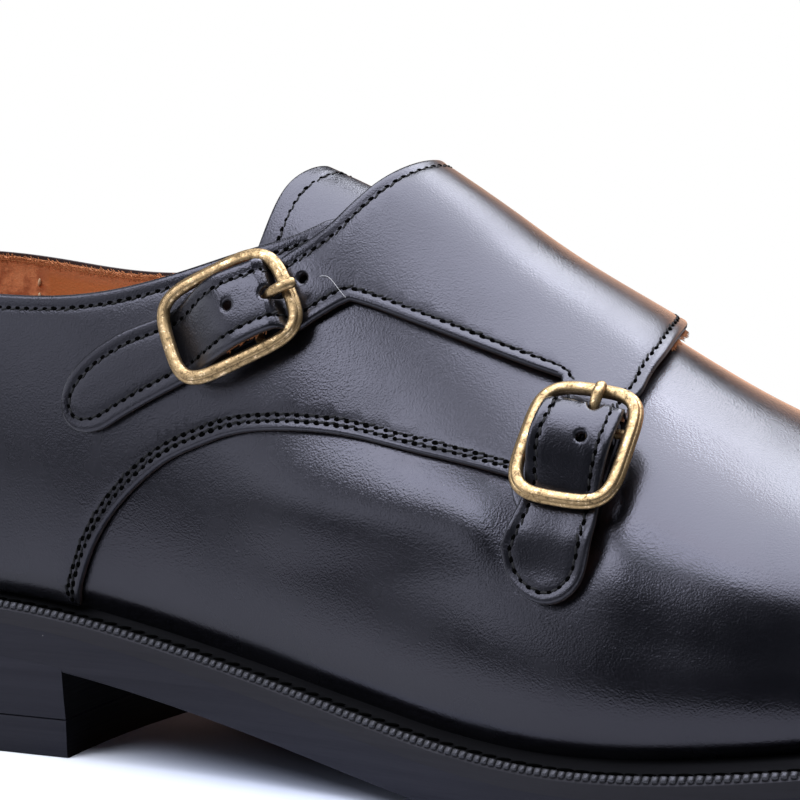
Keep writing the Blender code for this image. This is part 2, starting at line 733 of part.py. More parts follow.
def panel_lift(q, s):
    """Height of the strap panel's inner face over the last."""
    points = lifted(q, s, np.full(np.shape(q), HUMP_LEVEL))
    lift = LAYER_GAP + (STRAP_OVER_QUARTER - LAYER_GAP) * smooth((PANEL_DOWN - s) / PANEL_RAMP)
    front_t = FRONT.local(points)[0]
    on_vamp = smooth((TIP_DOWN - front_t) / TIP_RAMP) * (s < -0.4) * (x_of(q) > THROAT_TIP)
    lift = lift + (LAYER_GAP + 0.2 - lift) * on_vamp
    return lift + HUMP_RISE * np.maximum(hump(REAR, points), hump(FRONT, points))


def strap_edges(place, rows, tip, step):
    """The strap's first edge down to its tip and back up the other edge, as (q, s)."""
    between = {v for v in STRAP_ROWS if rows[-1][0] < v < rows[0][0]}
    t = np.array(sorted({row[0] for row in rows} | between, reverse=True))
    table = rows[::-1]
    one, other = spline(table, 1)(t), spline(table, 2)(t)
    at = np.concatenate([[0.0], np.cumsum(np.hypot(*np.diff(np.array(tip), axis=0).T))])
    fresh = np.linspace(0, at[-1], max(3, int(at[-1] / step)) + 1)
    bend = [(v, *p) for v, p in zip(at, tip)]
    round_t, round_b = spline(bend, 1)(fresh), spline(bend, 2)(fresh)
    down = place.on_last(t, one)
    end = place.on_last(round_t, round_b)
    up = place.on_last(t[::-1], other[::-1])
    return joined(down, end, up)


def strap_inside(place, rows):
    """Points across the strap at STRAP_ROWS, which its hump needs."""
    t = np.array([v for v in STRAP_ROWS if v < rows[0][0]])
    grid_t, grid_b = np.meshgrid(t, STRAP_COLUMNS)
    return place.on_last(grid_t.ravel(), grid_b.ravel())


def ring_hole(place, t, b, half_long, half_wide, count=12):
    turn = np.linspace(0, 2 * math.pi, count, endpoint=False)
    return place.on_last(t + half_long * np.cos(turn), b + half_wide * np.sin(turn), HUMP_LEVEL + 1)


# ---------------------------------------------------------------- quarters
def collar_edge(side, first_x, last_x, step):
    """(q, s) along the collar from first_x to last_x, on one side."""
    heights = collar_outer if side < 0 else collar_inner
    start, end = float(q_of(first_x)), float(q_of(last_x))
    q = np.linspace(start, end, max(2, int(abs(end - start) / step)) + 1)
    q = np.maximum(q, SEAM_HALF_GAP)
    return np.stack([q, s_at(x_of(q), heights(x_of(q)), side)], -1)


def upright(q, low, high, step):
    """A run of (q, s) at one q."""
    count = max(2, int(abs(high - low) * GIRTH / step)) + 1
    return np.stack([np.full(count, q), np.linspace(low, high, count)], -1)


def foot_run(x_from, x_to, s, step):
    """A run of (q, s) just above the welt."""
    start, end = (max(float(q_of(x)), SEAM_HALF_GAP) for x in (x_from, x_to))
    q = np.linspace(start, end, max(2, int(abs(end - start) / step)) + 1)
    return np.stack([q, np.full(len(q), s)], -1)


QUARTER_STEP = 6.6
# front edge of the outer quarter, from the welt up and forward to the front buckle: x, s
ARCH_OUTER = (
    (77.6, -0.994),
    (80.2, -0.934),
    (83.3, -0.878),
    (88.3, -0.816),
    (94.6, -0.760),
    (100.8, -0.717),
    (107.1, -0.685),
    (115.0, -0.651),
    (123.4, -0.626),
    (131.7, -0.605),
    (140.9, -0.586),
    (153.0, -0.568),
    (167.2, -0.543),
    (175.0, -0.532),
)
HIDDEN_FOOT = (
    (175.0, -0.532),
    (177.5, -0.575),
    (184.0, -0.592),
    (190.5, -0.57),
    (192.0, -0.5),
    (191.0, -0.4),
    (188.0, -0.33),
    (183.0, -0.30),
)
HIDDEN_TOP = ((183.0, -0.30), (170.0, -0.275), (155.0, -0.27), (140.0, -0.28), (129.0, -0.303))
# top edge of the strap panel, from the inner collar over the crest down to the rear strap: x, s
PANEL_TOP_START = 124.0
PANEL_TOP = (
    (139.8, 0.02),
    (139.4, -0.05),
    (138.1, -0.11),
    (134.8, -0.20),
    (131.4, -0.276),
    (128.4, -0.330),
)
NOTCH = ((135.5, -0.409), (147.2, -0.392), (158.1, -0.376), (168.9, -0.357), (179.3, -0.342))
PANEL_FRONT = (
    (192.3, -0.300),
    (192.3, -0.238),
    (191.9, -0.158),
    (191.1, -0.065),
    (189.5, 0.03),
    (186.0, 0.12),
    (180.0, 0.21),
    (171.0, 0.30),
    (159.0, 0.39),
    (145.0, 0.47),
    (130.0, 0.54),
    (115.0, 0.60),
    (103.0, 0.66),
    (93.5, 0.73),
    (86.5, 0.82),
    (81.0, 0.91),
    (77.6, 0.994),
)
ARCH_X = ARCH_OUTER[0][0]


def make_outer_quarter(finish):
    """The outer quarter, which runs forward under both straps and carries their buckles."""
    top = collar_edge(-1, 0.0, HIDDEN_TOP[-1][0], QUARTER_STEP)
    loop = joined(
        upright(SEAM_HALF_GAP, top[0][1], -FOOT_S, QUARTER_STEP),
        foot_run(0.0, ARCH_X, -FOOT_S, QUARTER_STEP),
        through(ARCH_OUTER, 4.5),
        through(HIDDEN_FOOT, 4.5),
        through(HIDDEN_TOP, QUARTER_STEP),
        top[::-1],
    )

    def place(q, s):
        level = np.full(len(q), LAYER_GAP)
        return lifted(q, s, level + LEATHER), lifted(q, s, level)

    sheet("quarter_outer", [loop], [], place, finish, QUARTER_STEP)


def make_inner_quarter(finish):
    """The inner quarter, which crosses the instep as the strap panel and ends in both straps."""
    collar = collar_edge(1, 0.0, PANEL_TOP_START, QUARTER_STEP)
    rear = strap_edges(REAR, REAR_STRAP, REAR_TIP, 3.2)
    front = strap_edges(FRONT, FRONT_STRAP, FRONT_TIP, 3.2)

    def rows_of(*parts):
        return [(float(x_of(q)), float(s)) for part in parts for q, s in part]

    top = through(rows_of(collar[-3:-1]) + list(PANEL_TOP) + rows_of(rear[:1]), 4.0)
    notch = through(rows_of(rear[-1:]) + list(NOTCH) + rows_of(front[:1]), 5.0)
    edge = through(rows_of(front[-1:]) + list(PANEL_FRONT), 5.0)
    loop = joined(
        collar[:-3],
        top,
        rear,
        notch,
        front,
        edge,
        foot_run(ARCH_X, 0.0, FOOT_S, QUARTER_STEP),
        upright(SEAM_HALF_GAP, FOOT_S, collar[0][1], QUARTER_STEP),
    )
    holes = [
        ring_hole(place, PRONG_HOLE_AT, PRONG_SIDE, PRONG_HOLE_LONG, PRONG_HOLE_WIDE)
        for place in (REAR, FRONT)
    ]
    extra = np.concatenate([strap_inside(REAR, REAR_STRAP), strap_inside(FRONT, FRONT_STRAP)])

    def place(q, s):
        lift = panel_lift(q, s)
        return lifted(q, s, lift + STRAP_LEATHER), lifted(q, s, lift)

    sheet("quarter_inner", [loop[::-1]] + holes, extra, place, finish, QUARTER_STEP)


def make_back_strip(finish):
    """The short strip that covers the back seam at the collar."""
    half, corner = BACK_STRIP_HALF, 0.04
    top = float(s_at(0.0, BACK_STRIP_TOP, -1))
    low = top - BACK_STRIP_S
    side = np.linspace(low + corner, top, 5)
    loop = [(-half, s) for s in side[::-1]] + [(-half * 0.55, low), (half * 0.55, low)]
    loop += [(half, s) for s in side] + [(0.0, top)]

    def place(q, s):
        level = np.full(len(q), STRAP_OVER_QUARTER)
        return lifted(q, s, level + BACK_STRIP), lifted(q, s, level)

    sheet("back_strip", [loop], [], place, finish, 3.0)


# ---------------------------------------------------------------- buckles
def tube(name, path, radii, finish, sides=8, closed=False):
    """A round tube along path, with its radius at each point."""
    path = np.asarray(path, float)
    count = len(path)
    if closed:
        ahead = np.roll(path, -1, axis=0) - np.roll(path, 1, axis=0)
    else:
        ahead = np.gradient(path, axis=0)
    ahead /= np.linalg.norm(ahead, axis=-1, keepdims=True)
    up = np.linalg.svd(path - path.mean(0))[2][2]
    across = np.cross(ahead, up)
    across /= np.linalg.norm(across, axis=-1, keepdims=True)
    up = np.cross(ahead, across)
    turn = np.linspace(0, 2 * math.pi, sides, endpoint=False) + math.pi / sides
    ring = np.cos(turn)[None, :, None] * across[:, None] + np.sin(turn)[None, :, None] * up[:, None]
    points = (path[:, None] + ring * np.asarray(radii)[:, None, None]).reshape(-1, 3)
    faces = []
    for i in range(count if closed else count - 1):
        for j in range(sides):
            k = (j + 1) % sides
            n = (i + 1) % count
            faces.append((i * sides + j, i * sides + k, n * sides + k, n * sides + j))
    if not closed:
        faces.append(tuple(reversed(range(sides))))
        faces.append(tuple((count - 1) * sides + j for j in range(sides)))
    return add_object(name, points, faces, finish)


def extruded(name, place, profile, half, finish, side=0.0):
    """A (t, height) profile extruded across the strap by half each way from side."""
    profile = np.asarray(profile, float)
    count = len(profile)
    ends = (side - half, side + half)
    points = np.concatenate([place.at(profile[:, 0], b, profile[:, 1]) for b in ends])
    faces = [(i, count + i, count + (i + 1) % count, (i + 1) % count) for i in range(count)]
    faces += [tuple(range(count)), tuple(reversed(range(count, 2 * count)))]
    return add_object(name, points, faces, finish)


def rail_height(t):
    return RAIL_HEIGHT - RAIL_BOW * (t / BUCKLE_HALF_LONG) ** 2


def make_frame(name, place, finish):
    """The buckle's frame: a rounded ring of rod with the bar that the strap crosses."""
    turn = np.linspace(0, 2 * math.pi, RAIL_STEPS, endpoint=False)
    cos, sin = np.cos(turn), np.sin(turn)
    long, wide = BUCKLE_HALF_LONG - RAIL_RADIUS, BUCKLE_HALF_WIDE - RAIL_RADIUS
    power = BUCKLE_POWER
    size = (np.abs(cos / long) ** power + np.abs(sin / wide) ** power) ** (-1 / power)
    t, b = size * cos, size * sin
    rail = place.at(t + place.frame_t, b + place.frame_b, rail_height(t))
    frame = tube(name, rail, np.full(RAIL_STEPS, RAIL_RADIUS), finish, closed=True)
    ends = np.linspace(-wide, wide, 3)
    bar_line = place.at(BAR_AT, ends + place.frame_b, BAR_HEIGHT)
    bar = tube(name + "_bar", bar_line, np.full(3, BAR_RADIUS), finish)
    boolean(frame, bar, "UNION")


OVER_RAIL = RAIL_HEIGHT + RAIL_RADIUS + JOINT + PRONG_RADIUS
# the prong from its hook on the bar to its blunt end: t, height, radius
PRONG_RUN = (
    (5.6, 6.28, 0.65),
    (6.9, 6.3, 0.7),
    (8.0, 6.7, 0.8),
    (9.2, 7.5, 0.9),
    (11.0, OVER_RAIL + 0.3, 0.95),
    (12.8, OVER_RAIL + 0.35, 0.95),
    (14.4, OVER_RAIL, 0.85),
    (15.4, OVER_RAIL - 0.4, 0.55),
)


def make_prong(name, place, finish):
    """The pin, which hooks round the bar, comes out through the strap and rests over the frame."""
    turn = np.radians(np.linspace(-60, -270, 8))
    hook = [
        (BAR_AT + PRONG_TURN * np.cos(a), BAR_HEIGHT + PRONG_TURN * np.sin(a), PRONG_RADIUS)
        for a in turn
    ]
    t, height, radii = np.array(hook + list(PRONG_RUN)).T
    tube(name, place.at(t, PRONG_SIDE, height), radii, finish, 6)


def make_chape(name, place, finish):
    """The leather loop that holds the bar to the outer quarter, slotted for the prong."""
    inner = BAR_RADIUS + CHAPE_EASE
    outer = inner + CHAPE_WALL
    floor = BAR_HEIGHT - outer

    def arc(radius, start, end, count):
        turn = np.radians(np.linspace(start, end, count))
        return [(BAR_AT + radius * np.cos(a), BAR_HEIGHT + radius * np.sin(a)) for a in turn]

    profile = [(BAR_AT - CHAPE_TAIL, floor)]
    profile += arc(outer, -90, 195, 12)
    profile += arc(inner, 190, -100, 10)
    profile += [(BAR_AT - CHAPE_TAIL, floor + CHAPE_WALL)]
    chape = extruded(name, place, profile, CHAPE_HALF_WIDE, finish)
    low, high = floor - 1, BAR_HEIGHT + outer + 1
    near, far = BAR_AT - outer - 0.8, BAR_AT + outer + 1
    corners = ((near, low), (far, low), (far, high), (near, high))
    slot = extruded(name + "_slot", place, corners, CHAPE_SLOT, finish, PRONG_SIDE)
    boolean(chape, slot, "DIFFERENCE")


def main():
    for existing in list(bpy.data.objects):
        bpy.data.objects.remove(existing)
    calf = material("black_calf", (0.012, 0.012, 0.015), 0.32)
    lining = material("insole_leather", (0.42, 0.17, 0.06), 0.6)
    rubber = material("black_rubber", (0.015, 0.015, 0.017), 0.6)
    edge = material("welt_leather", (0.014, 0.014, 0.016), 0.45)
    brass = material("brass", (0.55, 0.40, 0.17), 0.35, 1.0)
    make_sole(rubber, rubber, edge)
    make_insole(lining)
    make_upper(calf)
    make_tongue(calf)
    make_outer_quarter(calf)
    make_inner_quarter(calf)
    make_back_strip(calf)
    for label, place in (("rear", REAR), ("front", FRONT)):
        make_frame("buckle_" + label, place, brass)
        make_prong("prong_" + label, place, brass)
        make_chape("chape_" + label, place, calf)


main()
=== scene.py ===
"""Looks of the black double monk-strap shoe: its leathers, threads, welt, brass and the studio.

Every piece is worked out from the same last as the solids. A place on the last is (q, s): q runs
forward along the upper's lower edge from the heel's back, and s is the share of the girth, from -1
at the outer edge of the sole over 0 at the crest of the instep to 1 at the inner edge. Sizes are
in millimetres; the outer (lateral) side faces -Y, the toe faces +X and the floor is Z = 0.
"""

import math

import bmesh
import bpy
import numpy as np
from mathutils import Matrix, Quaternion, Vector
from mathutils.geometry import delaunay_2d_cdt


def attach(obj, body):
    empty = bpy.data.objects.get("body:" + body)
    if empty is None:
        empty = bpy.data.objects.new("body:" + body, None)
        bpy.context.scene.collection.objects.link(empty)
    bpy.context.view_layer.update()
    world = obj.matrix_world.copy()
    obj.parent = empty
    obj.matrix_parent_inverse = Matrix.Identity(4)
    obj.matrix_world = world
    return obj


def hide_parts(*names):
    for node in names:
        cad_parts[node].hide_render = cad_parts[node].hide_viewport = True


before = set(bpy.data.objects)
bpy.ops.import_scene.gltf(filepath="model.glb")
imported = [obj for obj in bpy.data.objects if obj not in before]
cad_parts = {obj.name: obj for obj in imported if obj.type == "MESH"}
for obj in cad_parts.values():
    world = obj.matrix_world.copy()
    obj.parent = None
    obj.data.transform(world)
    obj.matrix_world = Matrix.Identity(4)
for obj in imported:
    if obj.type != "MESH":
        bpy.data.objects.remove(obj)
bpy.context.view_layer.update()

MM = 0.001
ORIGIN = np.array((152.4, -1.1, 0.0))  # below the middle of the whole shoe, where its origin goes
LENGTH = 306.0
HEEL_ROUND, HEEL_POWER = 36.0, 2.2
TOE_ROUND, TOE_POWER = 78.0, 2.15
TOE_BOX, TOE_BOX_POWER = 42.0, 2.6  # the toe's rounding in side view
FEATHER_NARROW, FEATHER_HEEL, FEATHER_TOE = 0.88, 4.5, 6.0
GIRTH = 115.0  # mean half girth, which makes s about as long as x when a sheet is meshed
WELT, MIDSOLE, OUTSOLE, JOINT = 2.8, 2.5, 5.8, 0.3
WELT_WIDTH = 8.2
TREAD_FLAT = 0.3  # how far the forefoot's curve is cut away to stand flat
HEEL_BREAST, BREAST_HOLLOW, TOP_PIECE = 75.5, 2.6, 7.6
WALL, LEATHER, STRAP_LEATHER, LAYER_GAP = 2.2, 1.5, 1.6, 0.45
STRAP_OVER_QUARTER = LAYER_GAP + LEATHER + LAYER_GAP
SEAM_HALF_GAP = 0.4
PANEL_DOWN, PANEL_RAMP = 0.03, 0.25  # s where the panel leaves the crest, and its climb from there
INSOLE_ABOVE_SEAT, INSOLE_GAP, INSOLE_STEP = 2.6, 1.2, 2.4
BUCKLE_HALF_LONG, BUCKLE_POWER = 13.8, 4.4
RAIL_HEIGHT, RAIL_BOW = 5.85, 0.5
BAR_AT, BAR_HEIGHT, BAR_RADIUS = 4.2, 4.5, 0.9
PRONG_RADIUS, PRONG_TURN = 0.65, 1.8
HUMP_RISE, HUMP_LEVEL = 5.0, 5.0
PRONG_HOLE_LONG, PRONG_HOLE_WIDE = 1.6, 1.25
BACK_STRIP_HALF, BACK_STRIP_TOP, BACK_STRIP_S, BACK_STRIP = 6.0, 97.0, 0.17, 1.1
FOOT_S = 0.994  # where the quarters end above the welt
# plan of the welt: x, centre line y, half width, height of the welt's top
PLAN = (
    (0, 0.0, 33.5, 33.6),
    (20, 0.0, 34.5, 32.9),
    (45, 0.0, 35.2, 31.8),
    (70, -0.8, 34.6, 30.0),
    (100, -3.0, 32.8, 25.0),
    (130, -5.0, 34.4, 19.2),
    (160, -5.3, 40.2, 13.9),
    (188, -4.4, 46.4, 11.7),
    (215, -2.4, 49.6, 13.2),
    (240, 0.6, 49.8, 16.2),
    (268, 3.6, 47.5, 19.8),
    (306, 6.0, 45.0, 24.6),
)
# sections of the last: x, crest y, crest z, outward lean of the outer and inner wall in degrees,
# how far up that lean acts, how wide the outer and inner roof stay before they meet the crest
SECTIONS = (
    (5, 0.0, 152.0, 12, 12, 0.30, 0.72, 0.72),
    (30, 0.0, 152.0, 12, 12, 0.30, 0.72, 0.72),
    (60, 0.0, 149.0, 11, 13, 0.30, 0.72, 0.72),
    (90, 0.5, 139.5, 12, 18, 0.31, 0.66, 0.64),
    (110, 1.2, 130.5, 13, 21, 0.32, 0.60, 0.56),
    (125, 2.0, 123.0, 14, 21, 0.33, 0.56, 0.52),
    (140, 3.0, 114.2, 15, 20, 0.34, 0.52, 0.48),
    (154, 3.8, 105.8, 16, 19, 0.35, 0.50, 0.46),
    (166, 4.4, 98.2, 18, 18, 0.36, 0.50, 0.46),
    (179, 5.0, 90.6, 20, 17, 0.38, 0.50, 0.46),
    (190, 5.4, 84.4, 22, 17, 0.39, 0.52, 0.47),
    (205, 6.0, 76.0, 24, 18, 0.40, 0.54, 0.49),
    (220, 6.5, 69.2, 26, 19, 0.42, 0.57, 0.52),
    (240, 7.0, 61.8, 27, 21, 0.44, 0.60, 0.55),
    (262, 7.0, 56.0, 28, 24, 0.46, 0.62, 0.58),
    (282, 6.5, 52.4, 28, 28, 0.48, 0.64, 0.62),
    (300, 6.0, 50.0, 28, 28, 0.48, 0.64, 0.62),
)
# the heel's back line in side view: height, how far it stands forward
BACK_LINE = (
    (20, 2.5), (34, 0.6), (50, -2.4), (62, -2.8), (80, -0.6), (98, 4.0), (115, 9.0), (150, 18.0),
)
# collar: x, height on the outer side, height on the inner side
COLLAR = (
    (0, 97.5, 97.5), (20, 95.6, 96.0), (40, 92.8, 93.2), (60, 91.2, 91.6), (72, 91.0, 92.2),
    (84, 92.0, 94.4), (95, 94.3, 97.8), (105, 97.2, 102.0), (115, 100.2, 106.0),
    (124, 103.0, 109.6), (129, 105.6, 111.6),
)
THROAT_X, THROAT_TIP, THROAT_SHAPE = 108.0, 165.0, 1.5
# how far the tongue's crest sinks under the last: x, depth
TONGUE_SINK = ((104, 9.8), (120, 8.7), (140, 6.6), (160, 3.8), (178, 1.2), (190, 0.0), (200, 0.0))


def spline(rows, column):
    """Natural cubic curve through column of rows against their first column."""
    x = np.array([row[0] for row in rows], float)
    y = np.array([row[column] for row in rows], float)
    n, h = len(x), np.diff(x)
    system, right = np.eye(n), np.zeros(n)
    for i in range(1, n - 1):
        system[i, i - 1 : i + 2] = h[i - 1], 2 * (h[i - 1] + h[i]), h[i]
        right[i] = 6 * ((y[i + 1] - y[i]) / h[i] - (y[i] - y[i - 1]) / h[i - 1])
    bend = np.linalg.solve(system, right)

    def value(at):
        at = np.clip(np.asarray(at, float), x[0], x[-1])
        i = np.clip(np.searchsorted(x, at) - 1, 0, n - 2)
        t = at - x[i]
        slope = (y[i + 1] - y[i]) / h[i] - h[i] * (2 * bend[i] + bend[i + 1]) / 6
        return y[i] + t * slope + t**2 * bend[i] / 2 + t**3 * (bend[i + 1] - bend[i]) / (6 * h[i])

    return value


centre, half_width, seat = (spline(PLAN, column) for column in (1, 2, 3))
section = [spline(SECTIONS, column) for column in range(1, 8)]
back_line = spline(BACK_LINE, 1)
collar_outer, collar_inner = spline(COLLAR, 1), spline(COLLAR, 2)
tongue_sink = spline(TONGUE_SINK, 1)


def smooth(t):
    t = np.clip(t, 0, 1)
    return t * t * (3 - 2 * t)


def unit(vectors):
    return vectors / np.linalg.norm(vectors, axis=-1, keepdims=True)


def run_lengths(points):
    """How far along an open flat line each of its points lies."""
    return np.concatenate([[0.0], np.cumsum(np.hypot(*np.diff(points, axis=0).T))])


def headings(loop):
    """The closed loop's direction at each of its points."""
    return unit(np.roll(loop, -1, axis=0) - np.roll(loop, 1, axis=0))


def leftward(ahead):
    return np.stack([-ahead[:, 1], ahead[:, 0]], -1)


def round_section(radius, count):
    turn = np.linspace(0, 2 * math.pi, count, endpoint=False)
    return radius * np.stack([np.cos(turn), np.sin(turn)], -1)


def end_round(x, start, end):
    """Shares of the full width that the rounded heel and the rounded toe leave at x."""
    heel = np.clip((start + HEEL_ROUND - x) / HEEL_ROUND, 0, 1)
    toe = np.clip((x - end + TOE_ROUND) / TOE_ROUND, 0, 1)
    return (1 - heel**HEEL_POWER) ** 0.5, (1 - toe**TOE_POWER) ** 0.5


FEATHER_START, FEATHER_END = FEATHER_HEEL, LENGTH - FEATHER_TOE


def feather(x):
    """Centre y and half width of the upper's lower edge."""
    heel, toe = end_round(x, FEATHER_START, FEATHER_END)
    on_plan = (x - FEATHER_START) / (FEATHER_END - FEATHER_START) * LENGTH
    return centre(on_plan), half_width(on_plan) * FEATHER_NARROW * heel * toe


def cosine_steps(start, end, count):
    return start + (end - start) * (1 - np.cos(np.linspace(0, math.pi, count))) / 2


ALONG_X = cosine_steps(FEATHER_START, FEATHER_END, 1601)
ALONG_Q = np.concatenate(
    [[0.0], np.cumsum(np.hypot(np.diff(ALONG_X), np.diff(feather(ALONG_X)[1])))]
)
Q_TOE = ALONG_Q[-1]


def q_of(x):
    """Length along the upper's lower edge, from the heel's back to x."""
    return np.interp(x, ALONG_X, ALONG_Q)


def x_of(q):
    return np.interp(q, ALONG_Q, ALONG_X)


# how much lower the crest lies than the solids' at each x
CREST_EASE = (
    (100, 0.0), (128, -0.3), (141, -0.5), (154, 0.0), (166, 0.7), (179, 1.7), (190, 2.3),
    (205, 2.4), (240, 2.2), (270, 1.2), (300, 0.3),
)
crest_ease = spline(CREST_EASE, 1)


def last_point(q, s):
    q, s = np.broadcast_arrays(np.asarray(q, float), np.asarray(s, float))
    s = np.where((q < 0) | (q > Q_TOE), -s, s)
    q = np.abs(q)
    x = x_of(np.where(q > Q_TOE, 2 * Q_TOE - q, q))
    heel, toe = end_round(x, FEATHER_START, FEATHER_END)
    middle, half = feather(x)
    crest_y, crest_z, lean_out, lean_in, lean_share, roof_out, roof_in = (f(x) for f in section)
    on_plan = (x - FEATHER_START) / (FEATHER_END - FEATHER_START) * LENGTH
    foot_z = seat(on_plan) + JOINT
    side = np.where(s > 0, 1.0, -1.0)
    lean = np.radians(np.where(s > 0, lean_in, lean_out))
    roof = np.where(s > 0, roof_in, roof_out)
    box = np.clip((x - FEATHER_END + TOE_BOX) / TOE_BOX, 0, 1)
    height = (crest_z - foot_z) * (1 - box**TOE_BOX_POWER) ** 0.5
    foot_y = middle + side * half
    top_y = middle + (crest_y - middle) * heel * toe
    wall_y = foot_y + side * lean_share * height * np.sin(lean) * heel * toe
    wall_z = foot_z + lean_share * height * np.cos(lean)
    roof_y, top_z = top_y + (foot_y - top_y) * roof, foot_z + height
    u = 1 - np.abs(s)
    a, b, c, d = (1 - u) ** 3, 3 * u * (1 - u) ** 2, 3 * u * u * (1 - u), u**3
    y = a * foot_y + b * wall_y + c * roof_y + d * top_y
    z = a * foot_z + b * wall_z + (c + d) * top_z
    z = z - crest_ease(np.clip(x, 100, 300)) * smooth((0.45 - np.abs(s)) / 0.33)
    return np.stack([x + back_line(z) * np.clip((70 - x) / 65, 0, 1) ** 1.5, y, z], -1)


def last_slopes(q, s):
    q, s = np.broadcast_arrays(np.asarray(q, float), np.asarray(s, float))
    step_q, step_s = 0.4, 0.004
    low, high = np.clip(s - step_s, -1, 1), np.clip(s + step_s, -1, 1)
    along = (last_point(q + step_q, s) - last_point(q - step_q, s)) / (2 * step_q)
    around = (last_point(q, high) - last_point(q, low)) / (high - low)[..., None]
    return along, around


def last_normal(q, s):
    return unit(np.cross(*last_slopes(q, s)))


# the leather's swelling along the quarter's front edge: x, s
RIDGE = ((110, -0.74), (127, -0.716), (140, -0.688), (153, -0.656), (162, -0.628), (184, -0.59))
RIDGE_X, RIDGE_S = np.array(RIDGE).T
RIDGE_RISE, RIDGE_START, RIDGE_END = 1.4, 108, 182
SHOULDER_RISE, SHOULDER_S, SHOULDER_START, SHOULDER_END = 1.8, -0.572, 187, 290
WELT_TUCK, TUCK_START = 1.5, 0.945  # how far the upper is drawn in at the welt, and the s it starts at


def swelling(q, s):
    """How far the leather swells over the last: along the arch, and at the vamp's outer shoulder."""
    x = x_of(np.clip(np.abs(q), 0, Q_TOE))
    away = s - np.interp(x, RIDGE_X, RIDGE_S)
    ridge = smooth(1 - np.abs(away) / np.where(away > 0, 0.13, 0.11))
    ridge = RIDGE_RISE * ridge * smooth((x - RIDGE_START) / 26) * smooth((RIDGE_END - x) / 14)
    away = s - SHOULDER_S
    shoulder = smooth(1 - np.abs(away) / np.where(away > 0, 0.3, 0.17))
    shoulder = SHOULDER_RISE * shoulder * smooth((x - SHOULDER_START) / 13)
    shoulder = shoulder * smooth((SHOULDER_END - x) / 35)
    return ridge + shoulder - WELT_TUCK * smooth((np.abs(s) - TUCK_START) / (1 - TUCK_START))


def lifted(q, s, lift):
    lift = np.asarray(lift, float) + swelling(q, s)
    return last_point(q, s) + last_normal(q, s) * lift[..., None]


def s_at(x, z, side):
    """The s at which the last has height z at x, on the outer (-1) or inner (1) side."""
    low, high = np.zeros(np.shape(x)), np.ones(np.shape(x))
    for _ in range(40):
        mid = (low + high) / 2
        above = last_point(q_of(x), side * mid)[..., 2] > z
        low, high = np.where(above, mid, low), np.where(above, high, mid)
    return side * (low + high) / 2


def inside(points, loop):
    """Even-odd test of points against a closed loop."""
    found = np.zeros(len(points), bool)
    for (ax, ay), (bx, by) in zip(loop, np.roll(loop, -1, axis=0)):
        crosses = (ay > points[:, 1]) != (by > points[:, 1])
        rise = by - ay if by != ay else 1.0
        found ^= crosses & (points[:, 0] < ax + (points[:, 1] - ay) / rise * (bx - ax))
    return found


def through(rows, step):
    """Points about step apart on a smooth open curve through rows of (x, s), as (q, s)."""
    flat = np.array([(q_of(x), s * GIRTH) for x, s in rows])
    at = run_lengths(flat)
    count = max(2, int(round(at[-1] / step)) + 1)
    table = [(t, *p) for t, p in zip(at, flat)]
    fresh = np.linspace(0, at[-1], count)
    q, g = spline(table, 1)(fresh), spline(table, 2)(fresh)
    return np.stack([q, g / GIRTH], -1)


def joined(*parts):
    """One closed loop of the parts, without the points where one part repeats another's end."""
    loop = []
    for part in parts:
        for p in part:
            if not loop or abs(p[0] - loop[-1][0]) + GIRTH * abs(p[1] - loop[-1][1]) > 0.3:
                loop.append(tuple(p))
    while abs(loop[0][0] - loop[-1][0]) + GIRTH * abs(loop[0][1] - loop[-1][1]) <= 0.3:
        loop.pop()
    return np.array(loop)


def welt_edge(x, inset):
    """Outer and inner points of the sole's outline at stations x, moved inwards by inset."""
    heel, toe = end_round(x, 0, LENGTH)
    half = half_width(x) * heel * toe
    loop = np.concatenate(
        [np.stack([x, centre(x) - half], -1), np.stack([x, centre(x) + half], -1)[-2:0:-1]]
    )
    loop = loop + inset * leftward(headings(loop))
    outer = loop[: len(x)]
    inner = np.concatenate([loop[:1], loop[: len(x) - 1 : -1], loop[len(x) - 1 : len(x)]])
    return outer, inner


def ends_at(x, limit):
    """Stations up to limit, with limit itself as the last one."""
    kept = x[x < limit - 2.0]
    return np.append(kept, limit)


def below(depth):
    return lambda x: seat(x) - depth


def tread(x):
    return np.maximum(seat(x) - (WELT + MIDSOLE + OUTSOLE + 2 * JOINT + TREAD_FLAT), 0.0)


def above_tread(rise):
    return lambda x: tread(x) + rise


def flat_at(z):
    return lambda x: np.full(np.shape(x), float(z))


COLLAR_DROP = 1.7  # how far the upper's wall ends below the quarters' collar
TOE_CROWDING = 1.4  # how much closer the rows lie at the toe
# the tongue's outline from x, s: its sides, its front end under the vamp and its rough top edge
TONGUE_OUTER = ((184, -0.28), (165, -0.35), (145, -0.41), (125, -0.46), (106, -0.47))
TONGUE_FRONT = ((184, 0.28), (187, 0.1), (187, -0.1), (184, -0.28))
TONGUE_INNER = ((106, 0.45), (125, 0.44), (150, 0.38), (170, 0.33), (184, 0.28))
TONGUE_TOP = (
    (106, -0.47), (110.4, -0.42), (112.2, -0.35), (112.9, -0.28), (114.2, -0.18), (116.4, -0.09),
    (118.2, 0.01), (118.6, 0.12), (115.5, 0.23), (112, 0.32), (109, 0.39), (106, 0.45),
)
TONGUE_SINK_S = 0.62  # s at which the tongue no longer sinks


